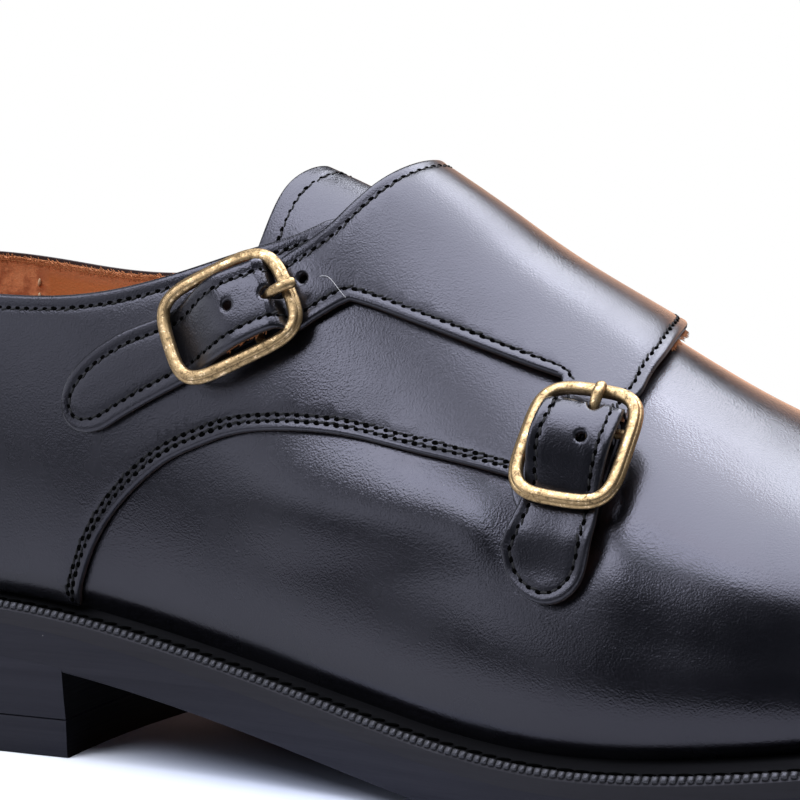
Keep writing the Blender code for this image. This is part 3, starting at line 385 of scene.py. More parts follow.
class Place:
    """A flat frame on the last: t runs along the strap towards its root, b across it, n outwards."""

    def __init__(self, middle, tipward, rootward, **buckle):
        """Three (x, s) places along the strap, and facts of its buckle: frame_t and frame_b are where
        its middle sits from the first place, half_long reaches to the middle of its rail and skew
        leans it at its root's end. dome is the t of the hump's foot towards the tip, and of its top
        and foot towards the root; prong is the b of the pin, and the t of its hole and tip."""
        self.__dict__.update(buckle)
        self.q, self.s = float(q_of(middle[0])), middle[1]
        self.centre = last_point(self.q, self.s)
        self.n = last_normal(self.q, self.s)
        run = last_point(q_of(rootward[0]), rootward[1]) - last_point(q_of(tipward[0]), tipward[1])
        run = run - self.n * (run @ self.n)
        self.t = unit(run)
        self.b = np.cross(self.n, self.t)

    def at(self, t, b, height):
        t, b, height = np.broadcast_arrays(*(np.asarray(v, float)[..., None] for v in (t, b, height)))
        return self.centre + t * self.t + b * self.b + height * self.n

    def local(self, points):
        rest = points - self.centre
        return rest @ self.t, rest @ self.b, rest @ self.n

    def on_last(self, t, b, lift=3.2):
        """(q, s) of the points of the lifted last that stand over t, b."""
        t, b = np.broadcast_arrays(np.asarray(t, float), np.asarray(b, float))
        q, s = np.full(t.shape, self.q), np.full(t.shape, self.s)
        for _ in range(25):
            now_t, now_b, _ = self.local(lifted(q, s, np.full(q.shape, lift)))
            along, around = last_slopes(q, s)
            m = along @ self.t, around @ self.t, along @ self.b, around @ self.b
            det = m[0] * m[3] - m[1] * m[2]
            miss_t, miss_b = t - now_t, b - now_b
            q = q + 0.7 * (miss_t * m[3] - miss_b * m[1]) / det
            s = np.clip(s + 0.7 * (miss_b * m[0] - miss_t * m[2]) / det, -0.99, 0.6)
        return np.stack([q, s], -1)


REAR = Place(
    (113.8, -0.507), (99.5, -0.6), (128.0, -0.425), frame_t=-0.4, frame_b=-0.5, half_long=13.15,
    skew=0.9, dome=(-12.6, 9.0, 11.7), prong=(-1.0, 9.7, 15.4),
)
FRONT = Place(
    (186.8, -0.452), (186.5, -0.56), (187.3, -0.33), frame_t=0.4, frame_b=0.1, half_long=11.45,
    skew=0.2, dome=(-11.0, 6.9, 9.3), prong=(-1.6, 7.4, 12.5),
)
# edges of the straps over their buckle's frame: t, b of the upper or rear edge, b of the other one
REAR_STRAP = (
    (14.5, 7.0, -8.0), (11.5, 6.4, -8.6), (8.0, 6.4, -8.1), (3.0, 6.9, -7.8), (-3.0, 7.0, -7.8),
    (-9.0, 6.2, -7.7), (-16.0, 6.5, -7.7), (-24.0, 7.2, -7.7), (-30.0, 6.7, -7.9),
)
FRONT_STRAP = (
    (13.0, 7.5, -5.5), (11.0, 7.4, -5.9), (8.0, 7.4, -6.4), (3.0, 7.6, -6.7), (-3.0, 7.6, -6.8),
    (-8.5, 7.0, -6.9), (-13.0, 7.6, -7.4), (-19.5, 9.2, -7.4),
)
# the straps' rounded ends: t, b
REAR_TIP = (
    (-30.0, 6.7), (-36.0, 4.9), (-40.0, 1.6), (-41.4, -2.2), (-40.0, -5.8), (-36.0, -7.9),
    (-30.0, -7.9),
)
FRONT_TIP = (
    (-19.5, 9.2), (-24.0, 7.2), (-27.2, 3.2), (-28.3, -0.2), (-27.6, -3.6), (-25.0, -6.2),
    (-19.5, -7.4),
)
TIP_DOWN, TIP_RAMP = -16.0, 8.0  # t where the front strap starts down to the vamp, and its length


def hump(place, points):
    """How far the strap rises over the bar of its buckle, from 0 to 1: a low dome on the tip's side
    that drops steeply on the root's side."""
    t, b, height = place.local(points)
    near = (np.abs(b) < 13) & (np.abs(height) < 14)
    tip_foot, root_top, root_foot = place.dome
    rise = smooth((t - tip_foot) / (1.5 - tip_foot)) ** 0.8
    fall = smooth((root_foot - t) / (root_foot - root_top))
    return np.where(near, rise * fall, 0.0)


STRAP_LEAN = 0.07  # how much more the front strap's rear edge stands off than its front edge
FRONT_OPEN = 1.8  # how far the panel's front edge stands off the vamp at the crest


def panel_lift(q, s):
    """Height of the strap panel's inner face over the last."""
    points = lifted(q, s, np.full(np.shape(q), HUMP_LEVEL))
    lift = LAYER_GAP + (STRAP_OVER_QUARTER - LAYER_GAP) * smooth((PANEL_DOWN - s) / PANEL_RAMP)
    front_t = FRONT.local(points)[0]
    x = x_of(q)
    on_vamp = smooth((TIP_DOWN - front_t) / TIP_RAMP) * (s < -0.4) * (x > THROAT_TIP)
    lift = lift + (LAYER_GAP + 0.2 - lift) * on_vamp
    opened = smooth((x - 160) / 32) * smooth((0.36 - np.abs(s - 0.04)) / 0.3)
    lift = lift + FRONT_OPEN * opened
    t, b, height = FRONT.local(points)
    near = (np.abs(height) < 14) * smooth((8.0 - t) / 5) * smooth((11.5 - np.abs(b)) / 2)
    lift = lift + STRAP_LEAN * np.clip(b + 7.6, 0, 16) * near
    return lift + HUMP_RISE * np.maximum(hump(REAR, points), hump(FRONT, points))


def ring_hole(place, t, b, half_long, half_wide, count=12):
    turn = np.linspace(0, 2 * math.pi, count, endpoint=False)
    return place.on_last(t + half_long * np.cos(turn), b + half_wide * np.sin(turn), HUMP_LEVEL + 1)


def collar_edge(side, first_x, last_x, step):
    """(q, s) along the collar from first_x to last_x, on one side."""
    heights = collar_outer if side < 0 else collar_inner
    start, end = float(q_of(first_x)), float(q_of(last_x))
    q = np.linspace(start, end, max(2, int(abs(end - start) / step)) + 1)
    q = np.maximum(q, SEAM_HALF_GAP)
    return np.stack([q, s_at(x_of(q), heights(x_of(q)), side)], -1)


def upright(q, low, high, step):
    """A run of (q, s) at one q."""
    count = max(2, int(abs(high - low) * GIRTH / step)) + 1
    return np.stack([np.full(count, q), np.linspace(low, high, count)], -1)


def foot_run(x_from, x_to, s, step):
    """A run of (q, s) just above the welt."""
    start, end = (max(float(q_of(x)), SEAM_HALF_GAP) for x in (x_from, x_to))
    q = np.linspace(start, end, max(2, int(abs(end - start) / step)) + 1)
    return np.stack([q, np.full(len(q), s)], -1)


# front edge of the outer quarter, from the welt up and forward to the front buckle: x, s
ARCH_OUTER = (
    (77.6, -0.994), (80.2, -0.934), (83.3, -0.878), (88.3, -0.819), (94.6, -0.766),
    (100.8, -0.725), (107.1, -0.694), (115.0, -0.660), (123.4, -0.634), (131.7, -0.612),
    (140.9, -0.591), (153.0, -0.571), (167.2, -0.543), (175.0, -0.532),
)
HIDDEN_FOOT = (
    (175.0, -0.532), (177.5, -0.575), (184.0, -0.592), (190.5, -0.57), (192.0, -0.5),
    (191.0, -0.4), (188.0, -0.33), (183.0, -0.30),
)
HIDDEN_TOP = ((183.0, -0.30), (170.0, -0.27), (155.0, -0.265), (142.0, -0.262), (134.5, -0.266))
HIDDEN_TOP += ((131.0, -0.286),)
OUTER_COLLAR_END = 127.6
# top edge of the strap panel, from the inner collar over the crest down to the rear strap: x, s
PANEL_TOP_START = 124.0
PANEL_TOP = (
    (139.8, 0.02), (139.4, -0.05), (138.1, -0.11), (134.8, -0.20), (131.4, -0.276),
    (128.4, -0.330),
)
NOTCH_REAR = ((132.2, -0.449), (134.4, -0.429), (136.6, -0.411))
NOTCH_SIDE = ((136.6, -0.411), (141.1, -0.403), (147.2, -0.395), (157.3, -0.379), (167.4, -0.361))
NOTCH_SIDE += ((173.5, -0.351), (178.9, -0.341))
NOTCH_FRONT = ((178.9, -0.341), (179.2, -0.347))
PANEL_FRONT = (
    (192.3, -0.30), (192.3, -0.24), (192.2, -0.165), (191.5, -0.08), (189.5, 0.03), (186.0, 0.12),
    (180.0, 0.21), (171.0, 0.30), (159.0, 0.39), (145.0, 0.47), (130.0, 0.54), (115.0, 0.60),
    (103.0, 0.66), (93.5, 0.73), (86.5, 0.82), (81.0, 0.91), (77.6, 0.994),
)
ARCH_X = ARCH_OUTER[0][0]


def rail_height(t):
    return RAIL_HEIGHT - RAIL_BOW * (t / BUCKLE_HALF_LONG) ** 2


# ---------------------------------------------------------------- pieces
def in_scene(name, data):
    made = bpy.data.objects.new(name, data)
    bpy.context.scene.collection.objects.link(made)
    return made


def in_metres(points):
    """Millimetres on the last as metres in the scene."""
    return ((np.asarray(points, float) - ORIGIN) * MM).tolist()


def add_piece(name, points, faces, finish, sharp=50.0, values=None):
    """A mesh piece from points in millimetres on the last, with point values under their names."""
    mesh = bpy.data.meshes.new(name)
    mesh.from_pydata(in_metres(points), [], faces)
    for key, numbers in (values or {}).items():
        kind = "FLOAT_VECTOR" if np.ndim(numbers) == 2 else "FLOAT"
        field = "vector" if kind == "FLOAT_VECTOR" else "value"
        stored = mesh.attributes.new(key, kind, "POINT")
        stored.data.foreach_set(field, np.asarray(numbers, np.float32).ravel())
    mesh.validate()
    if faces:
        mesh.materials.append(finish)
        mesh.shade_smooth()
        mesh.set_sharp_from_angle(angle=math.radians(sharp))
    return in_scene(name, mesh)


def settle(piece, slot, *nodes):
    """The piece rides on the shoe and stands for the solids it replaces. slot is not used."""
    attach(piece, "root")
    if nodes:
        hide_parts(*nodes)
    return piece


def edge_distance(points, loops):
    """How far each flat point lies from the nearest side of the closed loops."""
    best = np.full(len(points), np.inf)
    for loop in loops:
        start, run = loop, np.roll(loop, -1, axis=0) - loop
        size = np.maximum((run**2).sum(-1), 1e-12)
        for first in range(0, len(points), 3000):
            rest = points[first : first + 3000, None] - start[None]
            share = np.clip((rest * run).sum(-1) / size, 0, 1)
            away = np.hypot(*np.moveaxis(rest - share[..., None] * run, -1, 0)).min(1)
            best[first : first + 3000] = np.minimum(best[first : first + 3000], away)
    return best


def line_distance(points, lines):
    """How far each flat point lies from the nearest of the open lines."""
    best = np.full(len(points), np.inf)
    for line in lines:
        there_and_back = np.concatenate([line, line[-2:0:-1]])
        best = np.minimum(best, edge_distance(points, [there_and_back]))
    return best


def turned(loop, way):
    """The loop with its area to the left (way 1) or to the right (way -1)."""
    x, y = loop.T
    area = (x * np.roll(y, -1) - np.roll(x, -1) * y).sum()
    return loop if area * way > 0 else loop[::-1]


def moved_in(loop, offset):
    """The loop's points moved to its left by offset, and which of them stay that far from it."""
    ahead = np.roll(loop, -1, axis=0) - np.roll(loop, 1, axis=0)
    ahead /= np.maximum(np.linalg.norm(ahead, axis=-1, keepdims=True), 1e-9)
    moved = loop + offset * leftward(ahead)
    return moved, edge_distance(moved, [loop]) > 0.94 * offset


def even_loop(loop, step, corner=35.0):
    """The closed loop with points about step apart, keeping those where it turns by a corner."""
    loop = np.asarray(loop, float)
    before, after = loop - np.roll(loop, 1, axis=0), np.roll(loop, -1, axis=0) - loop
    turn = np.degrees(
        np.arctan2(
            before[:, 0] * after[:, 1] - before[:, 1] * after[:, 0], (before * after).sum(-1)
        )
    )
    corners = np.flatnonzero(np.abs(turn) > corner)
    if not len(corners):
        corners = np.array([0])
    made = []
    for first, last in zip(corners, np.append(corners[1:], corners[0] + len(loop))):
        run = loop[np.arange(first, last + 1) % len(loop)]
        at = run_lengths(run)
        fresh = np.linspace(0, at[-1], max(2, int(round(at[-1] / step)) + 1))[:-1]
        made.append(np.stack([np.interp(fresh, at, run[:, 0]), np.interp(fresh, at, run[:, 1])], -1))
    return np.concatenate(made)


EDGE_STEP, EDGE_RADIUS = 1.1, 0.55
RINGS = (0.1, 0.28, 0.55, 1.0, 1.5, 1.9, 2.3, 2.9)
HOLE_RINGS = (0.12, 0.35, 0.7)
GROOVE, GROOVE_REACH = 0.2, 0.5  # how deep a stitch row pulls the leather down, and how widely
UNDER = -1.0  # the value of rim on a sheet's hidden face


class Cut:
    """The outline that a piece of leather is cut to, on the flat (q, g) plan with g = s GIRTH."""

    def __init__(self, outline, holes=()):
        self.outer = even_loop(turned(np.asarray(outline, float) * (1, GIRTH), 1), EDGE_STEP)
        self.holes = [turned(np.asarray(hole, float) * (1, GIRTH), -1) for hole in holes]

    def row(self, offset, start, end):
        """The line at offset inside the outline, from near one flat place to near another, going
        the way round the outline that its points go."""
        moved, kept = moved_in(self.outer, offset)
        first, last = (int(np.argmin(np.hypot(*(self.outer - p).T))) for p in (start, end))
        index = np.arange(first, last if last > first else last + len(moved)) % len(moved)
        return moved[index][kept[index]]


def edge_drop(away, radius):
    """How far a rounded edge falls below the face, at a distance away from it."""
    short = np.clip(radius - away, 0, radius)
    return radius - np.sqrt(radius**2 - short**2)


def sheet(name, cut, place, thick, finish, rows=(), extra=(), step=2.3, soft=None, radius=EDGE_RADIUS):
    """A piece of leather. place(q, s, h) gives points h above its hidden face, thick is how thick
    it is, rows are the flat lines of its stitches, and soft(q, s) adds height to its face."""
    loops = [cut.outer] + cut.holes
    points, edges, start = list(cut.outer), [], 0
    for loop in loops:
        if start:
            points.extend(loop)
        count = len(loop)
        edges += [(start + i, start + (i + 1) % count) for i in range(count)]
        start += count
    widest = RINGS[-1]
    for loop, offsets in [(cut.outer, RINGS)] + [(hole, HOLE_RINGS) for hole in cut.holes]:
        for offset in offsets:
            moved, kept = moved_in(loop, offset)
            kept &= edge_distance(moved, loops) > 0.94 * offset
            kept &= inside(moved, cut.outer)
            number = np.cumsum(kept) - 1 + len(points)
            points.extend(moved[kept])
            for i in range(len(loop)):
                j = (i + 1) % len(loop)
                if kept[i] and kept[j]:
                    edges.append((int(number[i]), int(number[j])))
    edge = np.array(points)
    low, high = cut.outer.min(0), cut.outer.max(0)
    columns = enumerate(np.arange(low[0], high[0], step * 0.87))
    up = np.arange(low[1], high[1], step)
    grid = np.array([(q, g + (i % 2) * step / 2) for i, q in columns for g in up])
    if len(extra):
        extra = np.asarray(extra, float) * (1, GIRTH)
        clear = np.sqrt(((grid[:, None] - extra[None]) ** 2).sum(-1)).min(1) > 0.6 * step
        grid = np.concatenate([extra, grid[clear]])
    grid = grid[inside(grid, cut.outer)]
    for hole in cut.holes:
        grid = grid[~inside(grid, hole)]
    grid = grid[edge_distance(grid, [cut.outer]) > widest + 0.3]
    if cut.holes:
        grid = grid[edge_distance(grid, cut.holes) > HOLE_RINGS[-1] + 0.2]
    flat = [Vector(p) for p in np.concatenate([edge, grid])]
    found, _, triangles, *_ = delaunay_2d_cdt(flat, edges, [], 0, 1e-6)
    found = np.array([tuple(p) for p in found])
    triangles = np.array(triangles)
    middle = found[triangles].mean(1)
    solid = inside(middle, cut.outer)
    for hole in cut.holes:
        solid &= ~inside(middle, hole)
    triangles = triangles[solid]
    away = edge_distance(found, loops)
    q, s = found[:, 0], found[:, 1] / GIRTH
    face = thick - edge_drop(away, radius)
    if len(rows):
        row_away = line_distance(found, rows)
        face = face - GROOVE * np.exp(-((row_away / GROOVE_REACH) ** 2))
    if soft is not None:
        face = face + soft(q, s) * smooth(away / 3.0)
    count = len(found)
    outer, inner = place(q, s, face), place(q, s, np.zeros(count))
    turned_back = [tuple(count + i for i in reversed(t)) for t in triangles.tolist()]
    faces = [tuple(t) for t in triangles.tolist()] + turned_back
    sides = {(t[i], t[(i + 1) % 3]) for t in triangles.tolist() for i in range(3)}
    faces += [(b, a, count + a, count + b) for a, b in sides if (b, a) not in sides]
    rim = np.concatenate([np.minimum(away, 6.0), np.full(count, UNDER)])
    return add_piece(name, np.concatenate([outer, inner]), faces, finish, 60.0, {"rim": rim})


def face_normal(place, q, s, h):
    """The normal of a sheet's face, from places a little way off."""
    step_q, step_s = 0.25, 0.25 / GIRTH
    along = place(q + step_q, s, h) - place(q - step_q, s, h)
    around = place(q, s + step_s, h) - place(q, s - step_s, h)
    return unit(np.cross(along, around))


def path_on(lines, place, h):
    """(points, normals, runs) of flat lines carried onto a sheet's face at height h."""
    points, normals, runs, start = [], [], [], 0
    for line in lines:
        q, s = line[:, 0], line[:, 1] / GIRTH
        level = np.full(len(q), float(h))
        points.append(place(q, s, level))
        normals.append(face_normal(place, q, s, level))
        runs.append((start, start + len(line)))
        start += len(line)
    return np.concatenate(points), np.concatenate(normals), runs


def path_object(name, points, normals, runs, closed=False):
    """A wire that Geometry Nodes sew along, with its up direction at each point."""
    mesh = bpy.data.meshes.new(name)
    edges = [(i, i + 1) for first, last in runs for i in range(first, last - 1)]
    if closed:
        edges += [(last - 1, first) for first, last in runs]
    mesh.from_pydata(in_metres(points), edges, [])
    up = mesh.attributes.new("up", "FLOAT_VECTOR", "POINT")
    up.data.foreach_set("vector", np.asarray(normals, np.float32).ravel())
    return in_scene(name, mesh)


# ---------------------------------------------------------------- what Geometry Nodes repeat
def node(tree, kind, inputs=None, **settings):
    """A node of a tree, with its settings, and its inputs as values or as sockets to link."""
    made = tree.nodes.new(kind)
    for key, value in settings.items():
        setattr(made, key, value)
    for key, value in (inputs or {}).items():
        if isinstance(value, bpy.types.NodeSocket):
            tree.links.new(value, made.inputs[key])
        else:
            made.inputs[key].default_value = value
    return made


def sewing_tree(name, block=False):
    """One bead, or rounded block, for each pitch along the wires: Length, Width and Height are its
    sizes, Shift moves it along the row, Sink moves it down, Tilt leans it across the row, Slant
    turns it on the row, and Uneven is how much its size and direction vary."""
    tree = bpy.data.node_groups.new(name, "GeometryNodeTree")
    face = tree.interface
    face.new_socket("Geometry", in_out="INPUT", socket_type="NodeSocketGeometry")
    sizes = ("Pitch", "Length", "Width", "Height", "Shift", "Sink", "Tilt", "Uneven", "Slant")
    for key in sizes:
        face.new_socket(key, in_out="INPUT", socket_type="NodeSocketFloat")
    face.new_socket("Finish", in_out="INPUT", socket_type="NodeSocketMaterial")
    face.new_socket("Geometry", in_out="OUTPUT", socket_type="NodeSocketGeometry")
    given = node(tree, "NodeGroupInput").outputs

    def add(kind, inputs=None, output=0, **settings):
        return node(tree, kind, inputs, **settings).outputs[output]

    def vary(low, high, seed):
        inputs = {"Min": low, "Max": high, "Seed": seed}
        return add("FunctionNodeRandomValue", inputs, "Value", data_type="FLOAT")

    wires = add("GeometryNodeMeshToCurve", {"Mesh": given["Geometry"]})
    spacing = {"Curve": wires, "Length": given["Pitch"]}
    spaced = add("GeometryNodeResampleCurve", spacing, mode="LENGTH")
    up = add("GeometryNodeInputNamedAttribute", {"Name": "up"}, data_type="FLOAT_VECTOR")
    axes = {"Primary Axis": up, "Secondary Axis": add("GeometryNodeInputTangent")}
    turn = add("FunctionNodeAxesToRotation", axes, primary_axis="Z", secondary_axis="X")
    if block:
        cube = add("GeometryNodeMeshCube", {"Vertices X": 4, "Vertices Y": 4, "Vertices Z": 4})
        at = add("GeometryNodeInputPosition")
        way = vector_maths(tree, "NORMALIZE", {0: at})
        way = vector_maths(tree, "SCALE", {0: way, "Scale": 0.22})
        at = vector_maths(tree, "MULTIPLY_ADD", {0: at, 1: (0.56, 0.56, 0.56), 2: way})
        shape = add("GeometryNodeSetPosition", {"Geometry": cube, "Position": at})
    else:
        shape = add("GeometryNodeMeshUVSphere", {"Segments": 8, "Rings": 5, "Radius": 0.5})
    size = {"X": given["Length"], "Y": given["Width"], "Z": given["Height"]}
    size = add("ShaderNodeCombineXYZ", size)
    bead = add("GeometryNodeTransform", {"Geometry": shape, "Scale": size})
    smaller = maths(tree, "SUBTRACT", 1.0, given["Uneven"])
    scale = vary(smaller, maths(tree, "ADD", 1.0, given["Uneven"]), 3)
    copies = {"Points": spaced, "Instance": bead, "Rotation": turn, "Scale": scale}
    beads = add("GeometryNodeInstanceOnPoints", copies)
    sway = vary(maths(tree, "SUBTRACT", 0.0, given["Uneven"]), given["Uneven"], 8)
    yaw = maths(tree, "ADD", sway, given["Slant"])
    lean = add("ShaderNodeCombineXYZ", {"X": given["Tilt"], "Z": yaw})
    beads = add("GeometryNodeRotateInstances", {"Instances": beads, "Rotation": lean})
    down = maths(tree, "MULTIPLY", given["Sink"], -1.0)
    shift = add("ShaderNodeCombineXYZ", {"X": given["Shift"], "Z": down})
    beads = add("GeometryNodeTranslateInstances", {"Instances": beads, "Translation": shift})
    real = add("GeometryNodeRealizeInstances", {"Geometry": beads})
    real = add("GeometryNodeSetShadeSmooth", {0: real})
    real = add("GeometryNodeSetMaterial", {"Geometry": real, "Material": given["Finish"]})
    tree.links.new(real, node(tree, "NodeGroupOutput").inputs["Geometry"])
    return tree


def grown(name, source, tree, values):
    """The plain mesh that the tree makes from the source object, as a piece of its own."""
    step = source.modifiers.new("grow", "NODES")
    step.node_group = tree
    for item in tree.interface.items_tree:
        if item.item_type == "SOCKET" and item.in_out == "INPUT" and item.name in values:
            step[item.identifier] = values[item.name]
    graph = bpy.context.evaluated_depsgraph_get()
    mesh = bpy.data.meshes.new_from_object(source.evaluated_get(graph))
    mesh.name = name
    bpy.data.objects.remove(source)
    return in_scene(name, mesh)


STITCH = {"Pitch": 2.1, "Length": 1.7, "Width": 0.55, "Height": 0.44, "Uneven": 0.12, "Slant": 0.24}
# PIT and WIDE_PIT size the near-black beads painted as the needle holes' shade
PIT = {"Pitch": 2.1, "Length": 1.35, "Width": 0.84, "Height": 0.5, "Uneven": 0.18}
WIDE_PIT = {"Length": 1.4, "Width": 1.0, "Height": 0.52}
STITCH_SINK = 0.16


def sized(values, **changed):
    """The values for a tree, with the sizes among them in metres."""
    plain = ("Tilt", "Uneven", "Slant", "Finish")
    values = {**values, **changed}
    return {key: value if key in plain else value * MM for key, value in values.items()}


def sew(name, lines, place, h, **pit):
    """A row of stitches along flat lines on a sheet's face, and near-black beads between them, painted
    shade of the needle holes.
    """
    path = path_on(lines, place, h)
    sewn = sized(STITCH, Shift=STITCH["Pitch"] / 2, Sink=STITCH_SINK, Finish=BLACK_THREAD)
    holes = sized({**PIT, **pit}, Sink=GROOVE, Finish=PAINTED_SHADE_BLACK)
    for made, values in ((name, sewn), (name + "_holes", holes)):
        settle(grown(made, path_object(name + "_wire", *path), SEWING, values), "black_thread")


# ---------------------------------------------------------------- finishes
def shader_group(name, inputs, outputs):
    """An empty shader node group: its tree, its given values and its outputs."""
    tree = bpy.data.node_groups.new(name, "ShaderNodeTree")
    for key, kind, value in inputs:
        socket = tree.interface.new_socket(key, in_out="INPUT", socket_type="NodeSocket" + kind)
        if value is not None:
            socket.default_value = value
    for key, kind in outputs:
        tree.interface.new_socket(key, in_out="OUTPUT", socket_type="NodeSocket" + kind)
    return tree, node(tree, "NodeGroupInput").outputs, node(tree, "NodeGroupOutput").inputs


def maths(tree, operation, a, b=0.0, clamp=False):
    return node(tree, "ShaderNodeMath", {0: a, 1: b}, operation=operation, use_clamp=clamp).outputs[0]


def vector_maths(tree, operation, inputs, output=0):
    return node(tree, "ShaderNodeVectorMath", inputs, operation=operation).outputs[output]


def ramp(tree, value, low, high, start=0.0, end=1.0):
    """value's share of the way from low to high, smoothly, as start to end."""
    inputs = {"Value": value, 1: low, 2: high, 3: start, 4: end}
    return node(tree, "ShaderNodeMapRange", inputs, interpolation_type="SMOOTHSTEP").outputs[0]


def scale_of(tree, size):
    """The scale of a pattern in metres whose features are size millimetres apart."""
    return maths(tree, "DIVIDE", 1000.0, size)


def noise(tree, vector, scale, detail=2.0, rough=0.5, warp=0.0):
    inputs = {"Vector": vector, "Scale": scale, "Detail": detail, "Roughness": rough}
    return node(tree, "ShaderNodeTexNoise", {**inputs, "Distortion": warp}).outputs["Fac"]


def cells(tree, vector, scale, feature="F1", rand=1.0):
    inputs = {"Vector": vector, "Scale": scale, "Randomness": rand}
    return node(tree, "ShaderNodeTexVoronoi", inputs, feature=feature)


def blended(tree, share, one, other):
    """A colour between one and other."""
    mix = node(tree, "ShaderNodeMix", data_type="RGBA")
    for index, value in ((0, share), (6, one), (7, other)):
        if isinstance(value, bpy.types.NodeSocket):
            tree.links.new(value, mix.inputs[index])
        else:
            mix.inputs[index].default_value = value if index == 0 else (*value, 1.0)
    return mix.outputs[2]


def make_grain():
    """Calf grain: small cells with pores and short wrinkles between them. Height is its relief,
    and Tone varies slowly over the hide."""
    tree, given, out = shader_group(
        "calf_grain",
        (("Vector", "Vector", None), ("Cell", "Float", 0.5), ("Wrinkle", "Float", 1.2)),
        (("Height", "Float"), ("Tone", "Float")),
    )
    bent = node(
        tree,
        "ShaderNodeTexNoise",
        {"Vector": given["Vector"], "Scale": scale_of(tree, given["Wrinkle"]), "Detail": 1.0},
    ).outputs["Color"]
    bent = vector_maths(tree, "SCALE", {0: bent, "Scale": 0.0006})
    where = vector_maths(tree, "ADD", {0: given["Vector"], 1: bent})
    pebble = cells(tree, where, scale_of(tree, given["Cell"]), "SMOOTH_F1").outputs["Distance"]
    fold = noise(tree, where, scale_of(tree, given["Wrinkle"]), 3.0, 0.6, 0.4)
    fine = noise(tree, where, scale_of(tree, maths(tree, "MULTIPLY", given["Cell"], 0.85)), 1.0)
    height = maths(tree, "ADD", pebble, maths(tree, "MULTIPLY", fold, 0.1))
    height = maths(tree, "ADD", height, maths(tree, "MULTIPLY", fine, 0.7))
    tree.links.new(height, out["Height"])
    tree.links.new(noise(tree, given["Vector"], 45.0, 3.0, 0.55), out["Tone"])
    return tree


def make_rim_wear():
    """Edge is 1 at a cut edge and fades over Width, Border is 1 in the band outside the stitches,
    and Under is 1 on the flesh side."""
    tree, given, out = shader_group(
        "rim_wear",
        (("Rim", "Float", 6.0), ("Vector", "Vector", None), ("Width", "Float", 0.5)),
        (("Edge", "Float"), ("Border", "Float"), ("Under", "Float")),
    )
    rough = noise(tree, given["Vector"], 900.0, 2.0)
    reach = maths(tree, "MULTIPLY", given["Width"], maths(tree, "ADD", rough, 0.5))
    edge = maths(tree, "SUBTRACT", 1.0, maths(tree, "DIVIDE", given["Rim"], reach), True)
    shown = ramp(tree, given["Rim"], -0.6, -0.2)
    tree.links.new(maths(tree, "MULTIPLY", edge, shown), out["Edge"])
    tree.links.new(ramp(tree, given["Rim"], 2.1, 1.5), out["Border"])
    tree.links.new(maths(tree, "SUBTRACT", 1.0, shown), out["Under"])
    return tree


def make_specks():
    """Mask is 1 on a few small specks of dust: Size is their size and Share how many there are."""
    tree, given, out = shader_group(
        "dust_specks",
        (("Vector", "Vector", None), ("Size", "Float", 0.12), ("Share", "Float", 0.03)),
        (("Mask", "Float"),),
    )
    spots = cells(tree, given["Vector"], 420.0)
    share = maths(tree, "SUBTRACT", 1.0, given["Share"])
    chosen = node(tree, "ShaderNodeSeparateColor", {"Color": spots.outputs["Color"]}).outputs[0]
    chosen = maths(tree, "GREATER_THAN", chosen, share)
    reach = maths(tree, "MULTIPLY", given["Size"], 0.42)
    near = maths(tree, "LESS_THAN", spots.outputs["Distance"], reach)
    tree.links.new(maths(tree, "MULTIPLY", chosen, near), out["Mask"])
    return tree


def make_streaks():
    """Fine streaks along the trimmed edge of a sole: Fine for its relief and Broad for its tone."""
    tree, given, out = shader_group(
        "edge_streaks",
        (("Vector", "Vector", None), ("Pitch", "Float", 0.3)),
        (("Fine", "Float"), ("Broad", "Float")),
    )
    flat = vector_maths(tree, "MULTIPLY", {0: given["Vector"], 1: (0.02, 0.02, 1.0)})
    fine = noise(tree, flat, scale_of(tree, given["Pitch"]), 3.0, 0.6)
    broad = noise(tree, flat, scale_of(tree, maths(tree, "MULTIPLY", given["Pitch"], 8.0)), 2.0)
    tree.links.new(fine, out["Fine"])
    tree.links.new(broad, out["Broad"])
    return tree


def make_patina():
    """Aged plating: Dark is 1 where it has darkened, Bare where it is rubbed bright, Height is its
    shallow pitting."""
    tree, given, out = shader_group(
        "patina",
        (("Vector", "Vector", None), ("Patch", "Float", 1.2)),
        (("Dark", "Float"), ("Bare", "Float"), ("Height", "Float")),
    )
    patch = scale_of(tree, given["Patch"])
    broad = noise(tree, given["Vector"], patch, 5.0, 0.62, 0.3)
    fine = noise(tree, given["Vector"], maths(tree, "MULTIPLY", patch, 4.0), 3.0, 0.6)
    mixed = maths(tree, "ADD", maths(tree, "MULTIPLY", broad, 0.65), maths(tree, "MULTIPLY", fine, 0.35))
    tree.links.new(ramp(tree, mixed, 0.5, 0.64), out["Dark"])
    tree.links.new(ramp(tree, mixed, 0.46, 0.34), out["Bare"])
    tree.links.new(mixed, out["Height"])
    return tree


GRAIN, RIM_WEAR, SPECKS = make_grain(), make_rim_wear(), make_specks()
STREAKS, PATINA = make_streaks(), make_patina()


def blank(name, **values):
    """A material, its Principled BSDF with the given constant values, and its Object coordinates."""
    made = bpy.data.materials.new(name)
    made.use_nodes = True
    tree = made.node_tree
    shader = tree.nodes["Principled BSDF"]
    for key, value in values.items():
        shader.inputs[key.replace("_", " ")].default_value = value
    where = node(tree, "ShaderNodeTexCoord").outputs["Object"]
    return made, tree, shader, where


def placed(tree, group, inputs):
    return node(tree, "ShaderNodeGroup", inputs, node_tree=group).outputs


def dress(tree, shader, colour, rough, height, depth):
    """Links a colour, a roughness, and a height from 0 to 1 as a bump depth millimetres deep."""
    bump = node(tree, "ShaderNodeBump", {"Height": height, "Distance": depth * MM, "Strength": 1.0})
    tree.links.new(colour, shader.inputs["Base Color"])
    tree.links.new(rough, shader.inputs["Roughness"])
    tree.links.new(bump.outputs["Normal"], shader.inputs["Normal"])


